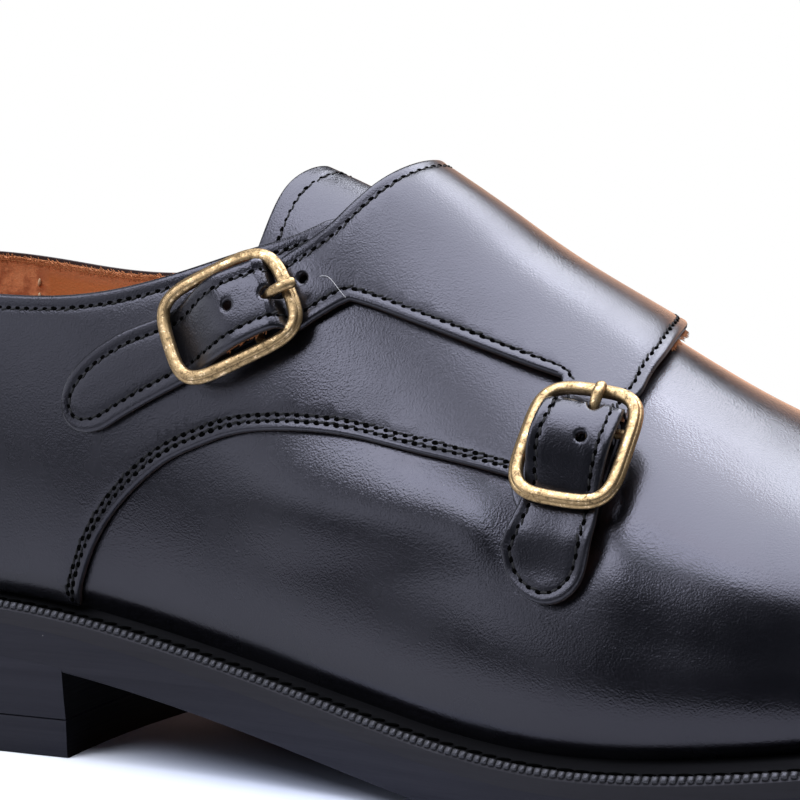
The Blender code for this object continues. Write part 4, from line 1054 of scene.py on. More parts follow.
def stored(tree, key):
    return node(tree, "ShaderNodeAttribute", attribute_name=key).outputs["Fac"]


POLISH = (0.8, 0.79, 1.0, 1.0)


def make_calf(name, depth, shine, worn=True, dusty=0.03):
    """Black polished calf: depth is its grain's relief, shine its roughness; worn edges are paler."""
    made, tree, shader, where = blank(name, Specular_IOR_Level=0.58, Specular_Tint=POLISH)
    grain = placed(tree, GRAIN, {"Vector": where, "Cell": 0.38, "Wrinkle": 1.5})
    dust = placed(tree, SPECKS, {"Vector": where, "Size": 0.13, "Share": dusty})
    colour = blended(tree, grain["Tone"], (0.0008, 0.0008, 0.0011), (0.0022, 0.0022, 0.003))
    rough = ramp(tree, grain["Tone"], 0.25, 0.75, shine - 0.04, shine + 0.06)
    if worn:
        wear = placed(tree, RIM_WEAR, {"Vector": where, "Width": 0.38, "Rim": stored(tree, "rim")})
        colour = blended(tree, maths(tree, "MULTIPLY", wear["Edge"], 0.4), colour, (0.04, 0.04, 0.046))
        colour = blended(tree, wear["Under"], colour, (0.022, 0.011, 0.007))
        rough = maths(tree, "ADD", rough, maths(tree, "MULTIPLY", wear["Under"], 0.35))
    colour = blended(tree, maths(tree, "MULTIPLY", dust["Mask"], 0.3), colour, (0.12, 0.12, 0.13))
    dress(tree, shader, colour, rough, grain["Height"], depth)
    return made


def make_lining():
    """Tan lining: smooth calf, suede where suede is 1, and a raw fibrous edge where raw is 1."""
    made, tree, shader, where = blank("tan_lining", Sheen_Weight=0.15, Sheen_Roughness=0.5)
    grain = placed(tree, GRAIN, {"Vector": where, "Cell": 0.5, "Wrinkle": 2.0})
    suede, raw = stored(tree, "suede"), stored(tree, "raw")
    nap = noise(tree, where, 1400.0, 4.0, 0.7, 1.0)
    blotch = ramp(tree, noise(tree, where, 260.0, 4.0, 0.65), 0.38, 0.62)
    colour = blended(tree, grain["Tone"], (0.33, 0.095, 0.024), (0.47, 0.16, 0.045))
    rough_hide = blended(tree, blotch, (0.34, 0.1, 0.035), (0.6, 0.24, 0.1))
    colour = blended(tree, suede, colour, rough_hide)
    fibres = blended(tree, nap, (0.16, 0.04, 0.014), (0.62, 0.22, 0.08))
    colour = blended(tree, raw, colour, fibres)
    fibrous = maths(tree, "MAXIMUM", suede, raw)
    rough = maths(tree, "ADD", 0.5, maths(tree, "MULTIPLY", fibrous, 0.45), True)
    height = maths(tree, "MULTIPLY", grain["Height"], 0.35)
    height = maths(tree, "ADD", height, maths(tree, "MULTIPLY", nap, fibrous))
    dress(tree, shader, colour, rough, height, 0.12)
    return made


def make_sock_leather():
    """The leather of the sock that covers the insole."""
    made, tree, shader, where = blank("sock_leather")
    grain = placed(tree, GRAIN, {"Vector": where, "Cell": 0.55, "Wrinkle": 2.2})
    colour = blended(tree, grain["Tone"], (0.34, 0.115, 0.035), (0.45, 0.165, 0.055))
    dress(tree, shader, colour, ramp(tree, grain["Tone"], 0.2, 0.8, 0.5, 0.66), grain["Height"], 0.04)
    return made


def make_thread(name, dark, light, shine, gloss=0.3):
    """Waxed twisted thread."""
    made, tree, shader, where = blank(name, Specular_IOR_Level=gloss)
    twist = noise(tree, where, 2200.0, 2.0, 0.6, 1.5)
    rough = ramp(tree, twist, 0.3, 0.7, shine, shine + 0.15)
    dress(tree, shader, blended(tree, twist, dark, light), rough, twist, 0.06)
    return made


def make_edge(name, dark, light, shine, pitch, depth, gloss=0.5):
    """The trimmed and waxed edge of welt, sole or heel."""
    made, tree, shader, where = blank(name, Specular_IOR_Level=gloss, Specular_Tint=POLISH)
    streak = placed(tree, STREAKS, {"Vector": where, "Pitch": pitch})
    dust = placed(tree, SPECKS, {"Vector": where, "Size": 0.12, "Share": 0.03})
    colour = blended(tree, streak["Broad"], dark, light)
    colour = blended(tree, maths(tree, "MULTIPLY", dust["Mask"], 0.35), colour, (0.35, 0.35, 0.37))
    rough = ramp(tree, streak["Fine"], 0.3, 0.7, shine, shine + 0.14)
    dress(tree, shader, colour, rough, streak["Fine"], depth)
    return made


def make_brass():
    """Antique brass: pale gold, darkened in patches."""
    made, tree, shader, where = blank("antique_brass", Metallic=1.0)
    aged = placed(tree, PATINA, {"Vector": where, "Patch": 1.3})
    colour = blended(tree, aged["Bare"], (0.36, 0.25, 0.135), (0.78, 0.59, 0.38))
    colour = blended(tree, maths(tree, "MULTIPLY", aged["Dark"], 0.85), colour, (0.1, 0.068, 0.038))
    rough = ramp(tree, aged["Height"], 0.35, 0.65, 0.3, 0.55)
    dress(tree, shader, colour, rough, aged["Height"], 0.06)
    return made


CALF = make_calf("black_calf", 0.032, 0.29)
VAMP_CALF = make_calf("black_calf_vamp", 0.028, 0.24, worn=False)
PLAIN_CALF = make_calf("black_calf_plain", 0.03, 0.26, worn=False)
LINING, SOCK = make_lining(), make_sock_leather()
BLACK_THREAD = make_thread("black_thread", (0.004, 0.004, 0.005), (0.02, 0.02, 0.023), 0.6, 0.15)
PALE_THREAD = make_thread("pale_thread", (0.35, 0.22, 0.12), (0.6, 0.45, 0.3), 0.6)
LOOSE_END = make_thread("loose_end", (0.3, 0.3, 0.32), (0.75, 0.75, 0.78), 0.6)
RAW_FIBRE = make_thread("raw_fibre", (0.16, 0.045, 0.014), (0.5, 0.19, 0.07), 0.7)
# near-black matte finish painted as shade: in the needle holes, and on the welt's stitches in their
# crease
PAINTED_SHADE_BLACK = make_thread("painted_shade_black", (0.001, 0.001, 0.001), (0.002, 0.002, 0.002), 0.8, 0.0)
WELT_EDGE = make_edge("welt_edge", (0.006, 0.006, 0.007), (0.016, 0.015, 0.017), 0.5, 0.9, 0.02, 0.3)
TOOTH_GREY = make_edge("welt_teeth", (0.012, 0.012, 0.014), (0.045, 0.045, 0.05), 0.4, 0.5, 0.02)
# the welt's top: a near-black copy of the welt's finish, painted shade under the upper's overhang
WELT_TOP_PAINTED_SHADE = make_edge("welt_top_painted_shade", (0.001, 0.001, 0.001), (0.004, 0.004, 0.004), 0.55, 0.9, 0.02, 0.12)
HEEL_EDGE = make_edge("heel_edge", (0.008, 0.008, 0.012), (0.022, 0.022, 0.03), 0.4, 0.3, 0.04, 0.18)
# the heel's breast: near black and matte, painted shade under the arch
BREAST_PAINTED_SHADE = make_edge("heel_breast_painted_shade", (0.001, 0.001, 0.001), (0.003, 0.003, 0.004), 0.7, 0.3, 0.02, 0.06)
RUBBER = make_edge("rubber_sole", (0.008, 0.008, 0.012), (0.022, 0.022, 0.029), 0.45, 0.3, 0.04, 0.18)
BRASS = make_brass()


# ---------------------------------------------------------------- vamp and lining
POLE_GAP = 1.2  # how far before the toe's end the last whole section is


def upper_rows(side_steps, throat_steps, rear_rows, front_rows, drop):
    """(q, s) rows over the last: at the rear two runs that end below the collar by drop, and from
    THROAT_X on whole sections, the first of which is the throat's edge."""
    share = np.linspace(0, 1, side_steps + 1)
    rear_q = np.linspace(0, q_of(THROAT_X), rear_rows)
    rear_x = x_of(rear_q)
    out = s_at(rear_x, collar_outer(rear_x) - drop, -1)
    into = s_at(rear_x, collar_inner(rear_x) - drop, 1)
    rows = []
    for q, low, high in zip(rear_q[:-1], out, into):
        rows.append((q, np.concatenate([-1 + (low + 1) * share, 1 + (high - 1) * share[::-1]])))
    rows = [(np.full(len(s), q), s) for q, s in rows]
    out, into = out[-1], into[-1]
    throat = np.linspace(out, into, throat_steps + 1)[1:-1]
    across = np.concatenate([-1 + (out + 1) * share, throat, 1 + (into - 1) * share[::-1]])
    even = np.linspace(-1, 1, len(across))
    reach = np.clip(np.where(across < 0, across / out, across / into), 0, 1)
    start = q_of(THROAT_X + (THROAT_TIP - THROAT_X) * (1 - reach**THROAT_SHAPE))
    for t in np.linspace(0, 1, front_rows):
        forward = 1 - (1 - t) ** TOE_CROWDING
        spread = smooth(t * 1.6)
        q = start * (1 - forward) + (Q_TOE - POLE_GAP) * forward
        rows.append((q, across * (1 - spread) + even * spread))
    return rows


def upper_skin(name, counts, drop, lifts, finish, soft=None, values=None):
    """A hollow wall over the last between two lifts, open at the collar, throat and underneath."""
    rows = upper_rows(*counts, drop)
    side_steps, first = counts[0], counts[2] - 1
    points, places, outer, inner = [], [], [], []
    for numbers, lift in ((outer, lifts[0]), (inner, lifts[1])):
        for i, (q, s) in enumerate(rows):
            height = np.full(len(q), float(lift))
            if soft is not None and numbers is outer:
                height = height + soft(q, s)
            line = []
            for j, p in enumerate(lifted(q, s, height)):
                if i == 0 and j > side_steps:
                    line.append(line[len(q) - 1 - j])
                    continue
                line.append(len(points))
                points.append(p)
                places.append((q[j], s[j]))
            numbers.append(line)
        numbers.append([len(points)] * len(rows[-1][0]))
        points.append(last_point(Q_TOE, -1.0) + (lift + swelling(Q_TOE, -1.0), 0, 0))
        places.append((Q_TOE, -1.0))
    skipped = len(outer[first]) - len(outer[0])
    faces = []
    for i in range(len(rows)):
        for j in range(len(outer[i]) - 1):
            if i < first and j == side_steps:
                continue
            k = j + skipped if i == first - 1 and j > side_steps else j
            for lines, turn in ((outer, 1), (inner, -1)):
                face = (lines[i][j], lines[i + 1][k], lines[i + 1][k + 1], lines[i][j + 1])
                face = list(dict.fromkeys(face))
                if len(face) > 2:
                    faces.append(tuple(face[::turn]))
    pair = {o: n for lines in zip(outer, inner) for o, n in zip(*lines)}
    sides = {
        (face[i], face[(i + 1) % len(face)])
        for face in faces
        if face[0] in pair
        for i in range(len(face))
    }
    faces += [(b, a, pair[a], pair[b]) for a, b in sides if (b, a) not in sides]
    points, places = np.array(points), np.array(places)
    given = values(points, *places.T) if values else {}
    return add_piece(name, points, faces, finish, 60.0, given)


def ripple(q, s, size, seed):
    """A soft unevenness from -1 to 1 whose swells are about size apart."""
    g = s * GIRTH
    total = np.zeros(np.shape(q))
    for k in range(5):
        turn = seed * 1.7 + k * 2.399
        way = q * math.cos(turn) + g * math.sin(turn)
        total = total + np.sin(2 * math.pi * way / (size * (0.7 + 0.17 * k)) + seed * 3.1 + k)
    return total / 5


def vamp_soft(q, s):
    return 0.12 * ripple(q, s, 34.0, 2.0)


SUEDE_END, RAW_EDGE = 28.3, 2.2


def lining_values(points, q, s):
    """suede is 1 on the heel's lining and raw is 1 on the fibrous edge below the collar."""
    x = x_of(np.minimum(q, Q_TOE))
    top = np.where(s < 0, collar_outer(x), collar_inner(x)) - LINING_DROP
    raw = smooth(1.5 - (top - points[:, 2]) / RAW_EDGE) * (x < THROAT_X)
    return {"suede": (x < SUEDE_END).astype(float), "raw": raw}


VAMP_LIFTS, LINING_DROP, LINING_LIFTS = (0.0, -1.0), 0.3, (-1.06, -2.15)


SEAM = {"Pitch": 3.2, "Length": 2.2, "Width": 0.7, "Height": 0.8, "Uneven": 0.1}


def inside_place(q, s, h):
    return lifted(q, s, LINING_LIFTS[1] - h)


def make_vamp():
    counts = (38, 26, 34, 120)
    vamp = upper_skin("vamp", counts, COLLAR_DROP, VAMP_LIFTS, VAMP_CALF, vamp_soft)
    settle(vamp, "black_calf", "upper")
    counts = (40, 24, 40, 60)
    lining = upper_skin("lining", counts, LINING_DROP, LINING_LIFTS, LINING, None, lining_values)
    settle(lining, "tan_lining", "upper")
    seam = []
    for side in (-1, 1):
        top = float(s_at(SUEDE_END, 90.0, side)) * GIRTH
        start, at = side * 96.0, float(q_of(SUEDE_END))
        seam.append(np.array([(at, g) for g in np.linspace(top, start, 40)]))
    points, normals, runs = path_on(seam, inside_place, 0.3)
    wire = path_object("seam_wire", points, normals, runs)
    values = sized(SEAM, Finish=PALE_THREAD)
    settle(grown("lining_stitches", wire, SEWING, values), "pale_thread")


# ---------------------------------------------------------------- cut leather
STITCH_IN = 1.9  # how far in from an edge its row of stitches runs
ARCH_ROWS = (1.3, 2.25)
CUT_STEP = 1.6
SPARE_HOLE = 0.95
SPARE_HOLES = ((REAR, 1.4, 0.1), (REAR, 15.7, 0.9), (FRONT, 0.1, -1.55))
COLLAR_ANCHOR = 6.6


def strap_edges(place, rows, tip, step):
    """The strap's first edge down to its tip and back up the other edge, as (q, s)."""
    table = rows[::-1]
    t = np.linspace(rows[0][0], rows[-1][0], int((rows[0][0] - rows[-1][0]) / step) + 1)
    one, other = spline(table, 1)(t), spline(table, 2)(t)
    at = run_lengths(np.array(tip))
    fresh = np.linspace(0, at[-1], int(at[-1] / step) + 1)
    bend = [(v, *p) for v, p in zip(at, tip)]
    round_t, round_b = spline(bend, 1)(fresh), spline(bend, 2)(fresh)
    down = place.on_last(t, one)
    end = place.on_last(round_t, round_b)
    up = place.on_last(t[::-1], other[::-1])
    return joined(down, end, up)


def strap_inside(place):
    """Points across the strap, close together at the foot of its hump."""
    t = np.concatenate([np.arange(13.4, 5.9, -0.7), np.arange(4.6, -13.4, -1.3)])
    grid_t, grid_b = np.meshgrid(t, np.arange(-4.4, 4.5, 1.7))
    return place.on_last(grid_t.ravel(), grid_b.ravel())


def outer_cut():
    top = collar_edge(-1, 0.0, OUTER_COLLAR_END, CUT_STEP)
    hidden = list(HIDDEN_TOP) + [(OUTER_COLLAR_END, float(top[-1][1]))]
    outline = joined(
        upright(SEAM_HALF_GAP, top[0][1], -FOOT_S, CUT_STEP),
        foot_run(0.0, ARCH_X, -FOOT_S, CUT_STEP),
        through(ARCH_OUTER, CUT_STEP),
        through(HIDDEN_FOOT, CUT_STEP),
        through(hidden, CUT_STEP),
        top[::-1],
    )
    return Cut(outline)


def panel_cut():
    anchors = collar_edge(1, 0.0, PANEL_TOP_START, COLLAR_ANCHOR)
    collar = collar_edge(1, 0.0, float(x_of(anchors[-3][0])), CUT_STEP)
    rear = strap_edges(REAR, REAR_STRAP, REAR_TIP, CUT_STEP)
    front = strap_edges(FRONT, FRONT_STRAP, FRONT_TIP, CUT_STEP)

    def rows_of(*parts):
        return [(float(x_of(q)), float(s)) for part in parts for q, s in part]

    top = through(rows_of(anchors[-3:-1]) + list(PANEL_TOP) + rows_of(rear[:1]), CUT_STEP)
    notch = joined(
        through(rows_of(rear[-1:]) + list(NOTCH_REAR), CUT_STEP),
        through(NOTCH_SIDE, CUT_STEP),
        through(list(NOTCH_FRONT) + rows_of(front[:1]), CUT_STEP),
    )
    edge = through(rows_of(front[-1:]) + list(PANEL_FRONT), CUT_STEP)
    outline = joined(
        collar[:-1],
        top,
        rear,
        notch,
        front,
        edge,
        foot_run(ARCH_X, 0.0, FOOT_S, CUT_STEP),
        upright(SEAM_HALF_GAP, FOOT_S, collar[0][1], CUT_STEP),
    )
    holes = [
        ring_hole(place, place.prong[1], place.prong[0], PRONG_HOLE_LONG, PRONG_HOLE_WIDE, 20)
        for place in (REAR, FRONT)
    ]
    holes += [ring_hole(place, t, b, SPARE_HOLE, SPARE_HOLE, 18) for place, t, b in SPARE_HOLES]
    return Cut(outline, holes)


PANEL_LINING, LINING_INSET, LINING_HOLE_SCALE, FLESH_GAP = 0.42, 0.5, 1.7, 0.03
PANEL_FACE = STRAP_LEATHER - PANEL_LINING - FLESH_GAP


def quarter_place(q, s, h):
    return lifted(q, s, LAYER_GAP + h)


def panel_place(q, s, h):
    """Points h above the panel's calf, which lies on its lining."""
    return lifted(q, s, panel_lift(q, s) + PANEL_LINING + FLESH_GAP + h)


def under_panel(q, s, h):
    return lifted(q, s, panel_lift(q, s) + h)


def flat(x, s):
    """The flat place of x, s."""
    return np.array((float(q_of(x)), s * GIRTH))


def make_quarters():
    cut = outer_cut()
    collar_row = cut.row(STITCH_IN, flat(124.5, -0.36), flat(2.0, -0.56))
    arch_rows = [cut.row(at, flat(77.6, -0.985), flat(174.8, -0.532)) for at in ARCH_ROWS]
    rows = [collar_row] + arch_rows
    quarter = sheet("outer_quarter", cut, quarter_place, LEATHER, CALF, rows, soft=quarter_soft)
    settle(quarter, "black_calf", "quarter_outer")
    sew("outer_quarter_stitches", [collar_row], quarter_place, LEATHER)
    sew("arch_stitches", arch_rows, quarter_place, LEATHER, **WIDE_PIT)
    cut = panel_cut()
    row = cut.row(STITCH_IN, flat(2.0, 0.56), flat(77.6, 0.985))
    extra = np.concatenate([strap_inside(REAR), strap_inside(FRONT)])
    panel = sheet("strap_panel", cut, panel_place, PANEL_FACE, CALF, [row], extra, soft=panel_soft)
    settle(panel, "black_calf", "quarter_inner")
    sew("strap_panel_stitches", [row], panel_place, PANEL_FACE)
    inset, kept = moved_in(cut.outer, LINING_INSET)
    middles = [hole.mean(0) for hole in cut.holes]
    wide = [middle + LINING_HOLE_SCALE * (hole - middle) for hole, middle in zip(cut.holes, middles)]
    lining_cut = Cut(inset[kept] / (1, GIRTH), [hole / (1, GIRTH) for hole in wide])
    lining = sheet(
        "panel_lining", lining_cut, under_panel, PANEL_LINING, LINING, (), extra, radius=0.15
    )
    settle(lining, "tan_lining", "quarter_inner")


def quarter_soft(q, s):
    return 0.1 * ripple(q, s, 30.0, 4.0)


def panel_soft(q, s):
    return 0.1 * ripple(q, s, 28.0, 7.0)


def tongue_place(q, s, h):
    x = x_of(q)
    sink = tongue_sink(x) * np.cos(np.pi / 2 * np.clip(np.abs(s) / TONGUE_SINK_S, 0, 1))
    normal = last_normal(q, s)
    low = last_point(q, s) - normal * (WALL + LAYER_GAP) - sink[:, None] * (0, 0, 1)
    return low + normal * (np.asarray(h) - STRAP_LEATHER)[:, None]


TONGUE_STITCH_IN = 3.4


def make_tongue():
    """The tongue with the row of stitches along its free edge."""
    runs = (TONGUE_OUTER, TONGUE_FRONT, TONGUE_INNER, TONGUE_TOP)
    cut = Cut(joined(*(through(rows, CUT_STEP)[::-1] for rows in runs)))
    row = cut.row(TONGUE_STITCH_IN, flat(106.0, 0.44), flat(106.0, -0.46))
    piece = sheet("tongue_leather", cut, tongue_place, STRAP_LEATHER, CALF, [row], radius=0.35)
    settle(piece, "black_calf", "tongue")
    sew("tongue_stitches", [row], tongue_place, STRAP_LEATHER)


HAIR = {"Pitch": 0.16, "Length": 1.3, "Width": 0.13, "Height": 0.13, "Uneven": 0.9}


def on_flat(place, rows):
    """A flat line through places t, b of a strap."""
    return np.array([(q, s * GIRTH) for q, s in (place.on_last(t, b) for t, b in rows)])


def make_fibres():
    """Raw fibres of the lining where the strap and the panel's front edge stand off the shoe."""
    steps = np.linspace(0, 1, 30)
    front = np.array([flat(192.2 - 5.7 * k * k, -0.12 + 0.24 * k) for k in steps])
    lines = [front + (shift, 0.0) for shift in (-0.9, -0.35)]
    low = [on_flat(REAR, [(-1.5 + 9 * k, -7.5 + shift) for k in steps]) for shift in (0.0, 0.45)]
    rims = []
    for drop in (0.1, 0.8):
        q = np.linspace(SEAM_HALF_GAP, float(q_of(104.0)), 160)
        at = s_at(x_of(q), collar_inner(x_of(q)) - drop, 1)
        rims.append(np.stack([q, at * GIRTH], -1))
    for name, rows, slant, place in (
        ("front_fibres", lines, 0.9, under_panel),
        ("strap_fibres", low, 0.3, under_panel),
        ("collar_fibres", rims, 0.4, inside_place),
    ):
        points, normals, runs = path_on(rows, place, 0.0)
        wire = path_object(name + "_wire", points, normals, runs)
        values = sized(HAIR, Slant=slant, Finish=RAW_FIBRE)
        settle(grown(name, wire, SEWING, values), "tan_lining")


THREAD_END_RADIUS, THREAD_END_LIFT = 0.045, 0.25


def make_loose_thread():
    """A cut thread end that lies over the notch's corner."""
    rows = ((130.2, -0.402), (131.6, -0.397), (133.0, -0.4), (134.4, -0.406), (136.1, -0.412))
    line = through(rows, 0.5)
    up = np.full(len(line), PANEL_FACE + THREAD_END_LIFT)
    path = panel_place(line[:, 0], line[:, 1], up)
    normal = face_normal(panel_place, line[:, 0], line[:, 1], up)
    ahead = unit(np.gradient(path, axis=0))
    ring = round_section(THREAD_END_RADIUS, 6)
    piece = swept("loose_thread", path, np.cross(ahead, normal), normal, ring, LOOSE_END, False)
    settle(piece, "pale_thread")


def strip_place(q, s, h):
    return lifted(q, s, STRAP_OVER_QUARTER + h)


def make_back_strip():
    half, corner = BACK_STRIP_HALF, 0.04
    top = float(s_at(0.0, BACK_STRIP_TOP, -1))
    low = top - BACK_STRIP_S
    side = np.linspace(low + corner, top, 16)
    loop = [(-half, s) for s in side[::-1]] + [(-half * 0.55, low), (half * 0.55, low)]
    loop += [(half, s) for s in side] + [(0.0, top)]
    cut = Cut(loop)
    row = cut.row(1.6, (-half, (top - 0.01) * GIRTH), (half, (top - 0.01) * GIRTH))
    piece = sheet("heel_tab", cut, strip_place, BACK_STRIP, CALF, [row], step=1.6, radius=0.4)
    settle(piece, "black_calf", "back_strip")
    sew("heel_tab_stitches", [row], strip_place, BACK_STRIP)


# ---------------------------------------------------------------- sole
STATIONS = cosine_steps(0, LENGTH, 181)


def ring_piece(name, rings, finish, sharp=40.0):
    """A closed band round the sole from rings of (inset, height below the welt's top)."""
    points = []
    for inset, drop in rings:
        outer, inner = welt_edge(STATIONS, inset)
        loop = np.concatenate([outer, inner[-2:0:-1]])
        points.append(np.concatenate([loop, (seat(loop[:, 0]) - drop)[:, None]], -1))
    count, levels = len(points[0]), len(rings)
    faces = [
        (
            level * count + i,
            (level + 1) % levels * count + i,
            (level + 1) % levels * count + (i + 1) % count,
            level * count + (i + 1) % count,
        )
        for level in range(levels)
        for i in range(count)
    ]
    return add_piece(name, np.concatenate(points), faces, finish, sharp)


def layer(name, stations, rings, finish, breast=0.0, columns=8):
    """A layer of the sole. rings run from its top face down its side to its bottom face, each an
    inset and a function of x for its height. With breast it ends in a face that is hollow by it."""
    share = np.linspace(-1, 1, columns + 1)
    reach = (stations / stations[-1]) ** 4
    whole = np.concatenate([stations, STATIONS[STATIONS > stations[-1] + 2.0]])

    def grid(inset, height):
        outer, inner = (side[: len(stations)] for side in welt_edge(whole, inset))
        mix = (share + 1)[None, :, None] / 2
        plan = outer[:, None] * (1 - mix) + inner[:, None] * mix
        plan[..., 0] -= breast * (1 - share**2)[None] * reach[:, None]
        return np.concatenate([plan, height(plan[..., 0])[..., None]], -1)

    grids = [grid(inset, height) for inset, height in rings]
    rows = len(stations)
    points, index = [], []
    for level, g in enumerate(grids):
        numbers = -np.ones((rows, columns + 1), int)
        for i in range(rows):
            pole = i == 0 or (i == rows - 1 and not breast)
            for j in range(columns + 1):
                rim = j in (0, columns) or i in (0, rows - 1)
                if not rim and level not in (0, len(grids) - 1):
                    continue
                if pole and j > 0:
                    numbers[i, j] = numbers[i, 0]
                    continue
                numbers[i, j] = len(points)
                points.append(g[i, j])
        index.append(numbers)
    faces = []
    for i in range(rows - 1):
        for j in range(columns):
            top, low = index[0], index[-1]
            faces.append((top[i, j], top[i + 1, j], top[i + 1, j + 1], top[i, j + 1]))
            faces.append((low[i, j], low[i, j + 1], low[i + 1, j + 1], low[i + 1, j]))
        for above, under in zip(index, index[1:]):
            faces.append((above[i, 0], under[i, 0], under[i + 1, 0], above[i + 1, 0]))
            faces.append((above[i + 1, -1], under[i + 1, -1], under[i, -1], above[i, -1]))
    front = []
    if breast:
        for j in range(columns):
            for above, under in zip(index, index[1:]):
                front.append((above[-1, j], under[-1, j], under[-1, j + 1], above[-1, j + 1]))
    faces = [tuple(dict.fromkeys(int(i) for i in face)) for face in faces + front]
    piece = add_piece(name, points, [face for face in faces if len(face) > 2], finish, 35.0)
    # the breast's faces get the near-black painted-shade finish
    if breast:
        piece.data.materials.append(BREAST_PAINTED_SHADE)
        for face in list(piece.data.polygons)[-len(front):]:
            face.material_index = 1
    return piece


TOOTH = {"Pitch": 1.65, "Length": 1.3, "Width": 1.5, "Height": 1.3, "Tilt": 0.75, "Uneven": 0.06}
ROPE = {"Pitch": 3.3, "Length": 3.0, "Width": 0.8, "Height": 0.6, "Slant": 0.22, "Uneven": 0.1}
TOOTH_IN, TOOTH_DROP = 0.85, 0.8
ROPE_IN = 3.1
WELT_TOP_RINGS = 8  # how many of the profile's first runs face upwards
WELT_PROFILE = (
    (WELT_WIDTH, -1.7), (7.2, -1.6), (5.6, -0.9), (4.6, 0.1), (3.6, 0.45), (2.6, 0.5), (1.9, 0.3),
    (1.5, 0.35), (0.9, 0.85), (0.25, 1.35), (0.06, 1.5), (0.0, 1.7), (0.0, WELT + JOINT),
    (WELT_WIDTH, WELT + JOINT),
)


def welt_row(name, inset, drop, tree, values, finish, slot):
    """Beads or blocks all round the welt at an inset from its edge."""
    outer, inner = welt_edge(STATIONS, inset)
    loop = np.concatenate([outer, inner[-2:0:-1]])[::-1]
    points = np.concatenate([loop, (seat(loop[:, 0]) - drop)[:, None]], -1)
    up = np.tile((0.0, 0.0, 1.0), (len(points), 1))
    wire = path_object(name + "_wire", points, up, [(0, len(points))], closed=True)
    settle(grown(name, wire, tree, sized(values, Finish=finish)), slot)


BAND_UP = 1.2  # how far above the midsole's lower face the edge changes its finish


def make_sole():
    band = ring_piece("welt_band", WELT_PROFILE, WELT_EDGE)
    # the upward faces take the welt finish's painted-shade copy
    band.data.materials.append(WELT_TOP_PAINTED_SHADE)
    count = len(band.data.polygons) // len(WELT_PROFILE)
    for face in list(band.data.polygons)[: WELT_TOP_RINGS * count]:
        face.material_index = 1
    settle(band, "welt_edge", "welt")
    welt_row("welt_teeth", TOOTH_IN, TOOTH_DROP, TEETH, TOOTH, TOOTH_GREY, "welt_edge")
    # the welt's stitches take the painted-shade black, darker than the black thread, for the shade of
    # the crease they lie in
    welt_row("welt_stitches", ROPE_IN, 0.3, SEWING, ROPE, PAINTED_SHADE_BLACK, "black_thread")
    top = WELT + JOINT
    end = top + MIDSOLE - BAND_UP
    mid = ((0.5, below(top)), (0.02, below(top)), (0.06, below(end)), (0.5, below(end)))
    settle(layer("midsole_band", STATIONS, mid, WELT_EDGE), "welt_edge", "midsole")
    sole = ((0.8, below(end + 0.01)), (0.1, below(end + 0.01)), (0.14, below(end + 0.3)))
    sole += ((0.33, above_tread(0.7)), (0.5, above_tread(0.22)), (0.95, tread))
    settle(layer("outsole_rubber", STATIONS, sole, RUBBER), "rubber_sole", "outsole")
    heel = ends_at(STATIONS, HEEL_BREAST)
    stack = ((0.7, above_tread(0.9)), (0.3, above_tread(0.8)))
    stack += ((0.75, lambda x: (tread(x) + TOP_PIECE) / 2), (1.28, flat_at(TOP_PIECE + 0.3)))
    stack += ((1.5, flat_at(TOP_PIECE + 0.16)),)
    settle(layer("heel_lifts", heel, stack, HEEL_EDGE, BREAST_HOLLOW), "heel_edge", "heel_stack")
    piece = ((1.5, flat_at(TOP_PIECE)), (1.3, flat_at(TOP_PIECE - 0.14)))
    piece += ((1.42, flat_at(0.8)), (1.6, flat_at(0.25)), (2.1, flat_at(0)))
    settle(layer("heel_rubber", heel, piece, RUBBER, BREAST_HOLLOW), "rubber_sole", "top_piece")


def make_sock():
    """The sock over the insole, rounded at its edge, and the fill below it."""
    x = cosine_steps(FEATHER_START, FEATHER_END, 121)
    middle, half = feather(x)
    loop = np.concatenate(
        [np.stack([x, middle - half], -1), np.stack([x, middle + half], -1)[-2:0:-1]]
    )
    inward = leftward(headings(loop))
    count = len(loop)
    edge, top = WALL + INSOLE_GAP, INSOLE_ABOVE_SEAT
    rings = (
        (edge + 1.3, top),
        (edge + 0.4, top - 0.15),
        (edge, top - 0.7),
        (edge, JOINT),
        (edge + INSOLE_STEP, JOINT),
        (edge + INSOLE_STEP, -WELT),
    )
    points = []
    for inset, height in rings:
        ring = loop + inset * inward
        points.append(np.concatenate([ring, (seat(ring[:, 0]) + height)[:, None]], -1))
    last = len(rings) - 1
    faces = [
        (level * count + i, (level + 1) * count + i, (level + 1) * count + j, level * count + j)
        for level in range(last)
        for i, j in zip(range(count), np.roll(range(count), -1).tolist())
    ]
    for base, turn in ((0, 1), (last * count, -1)):
        for i in range(len(x) - 1):
            strip = (i, i + 1, (count - i - 1) % count, (count - i) % count)
            strip = list(dict.fromkeys(base + number for number in strip))
            faces.append(tuple(strip[::turn]))
    settle(add_piece("sock", np.concatenate(points), faces, SOCK, 40.0), "insole_leather", "insole")


# ---------------------------------------------------------------- buckles
# the frame's section: how far outwards from its line, and how high above it
FRAME_SECTION = (
    (-1.3, -0.4), (-1.34, 0.25), (-1.1, 0.82), (-0.55, 1.08), (0.35, 1.06), (0.72, 0.86),
    (0.8, 0.5), (1.08, 0.42), (1.4, 0.05), (1.42, -0.4), (1.0, -0.72), (0.0, -0.85),
    (-0.95, -0.72),
)
FRAME_HALF_WIDE, FRAME_BOW = 9.4, 0.5


def cut_corners(loop, times):
    """The closed loop with its corners cut off again and again, which rounds it."""
    loop = np.asarray(loop, float)
    for _ in range(times):
        after = np.roll(loop, -1, axis=0)
        loop = np.stack([0.75 * loop + 0.25 * after, 0.25 * loop + 0.75 * after], 1).reshape(-1, 2)
    return loop


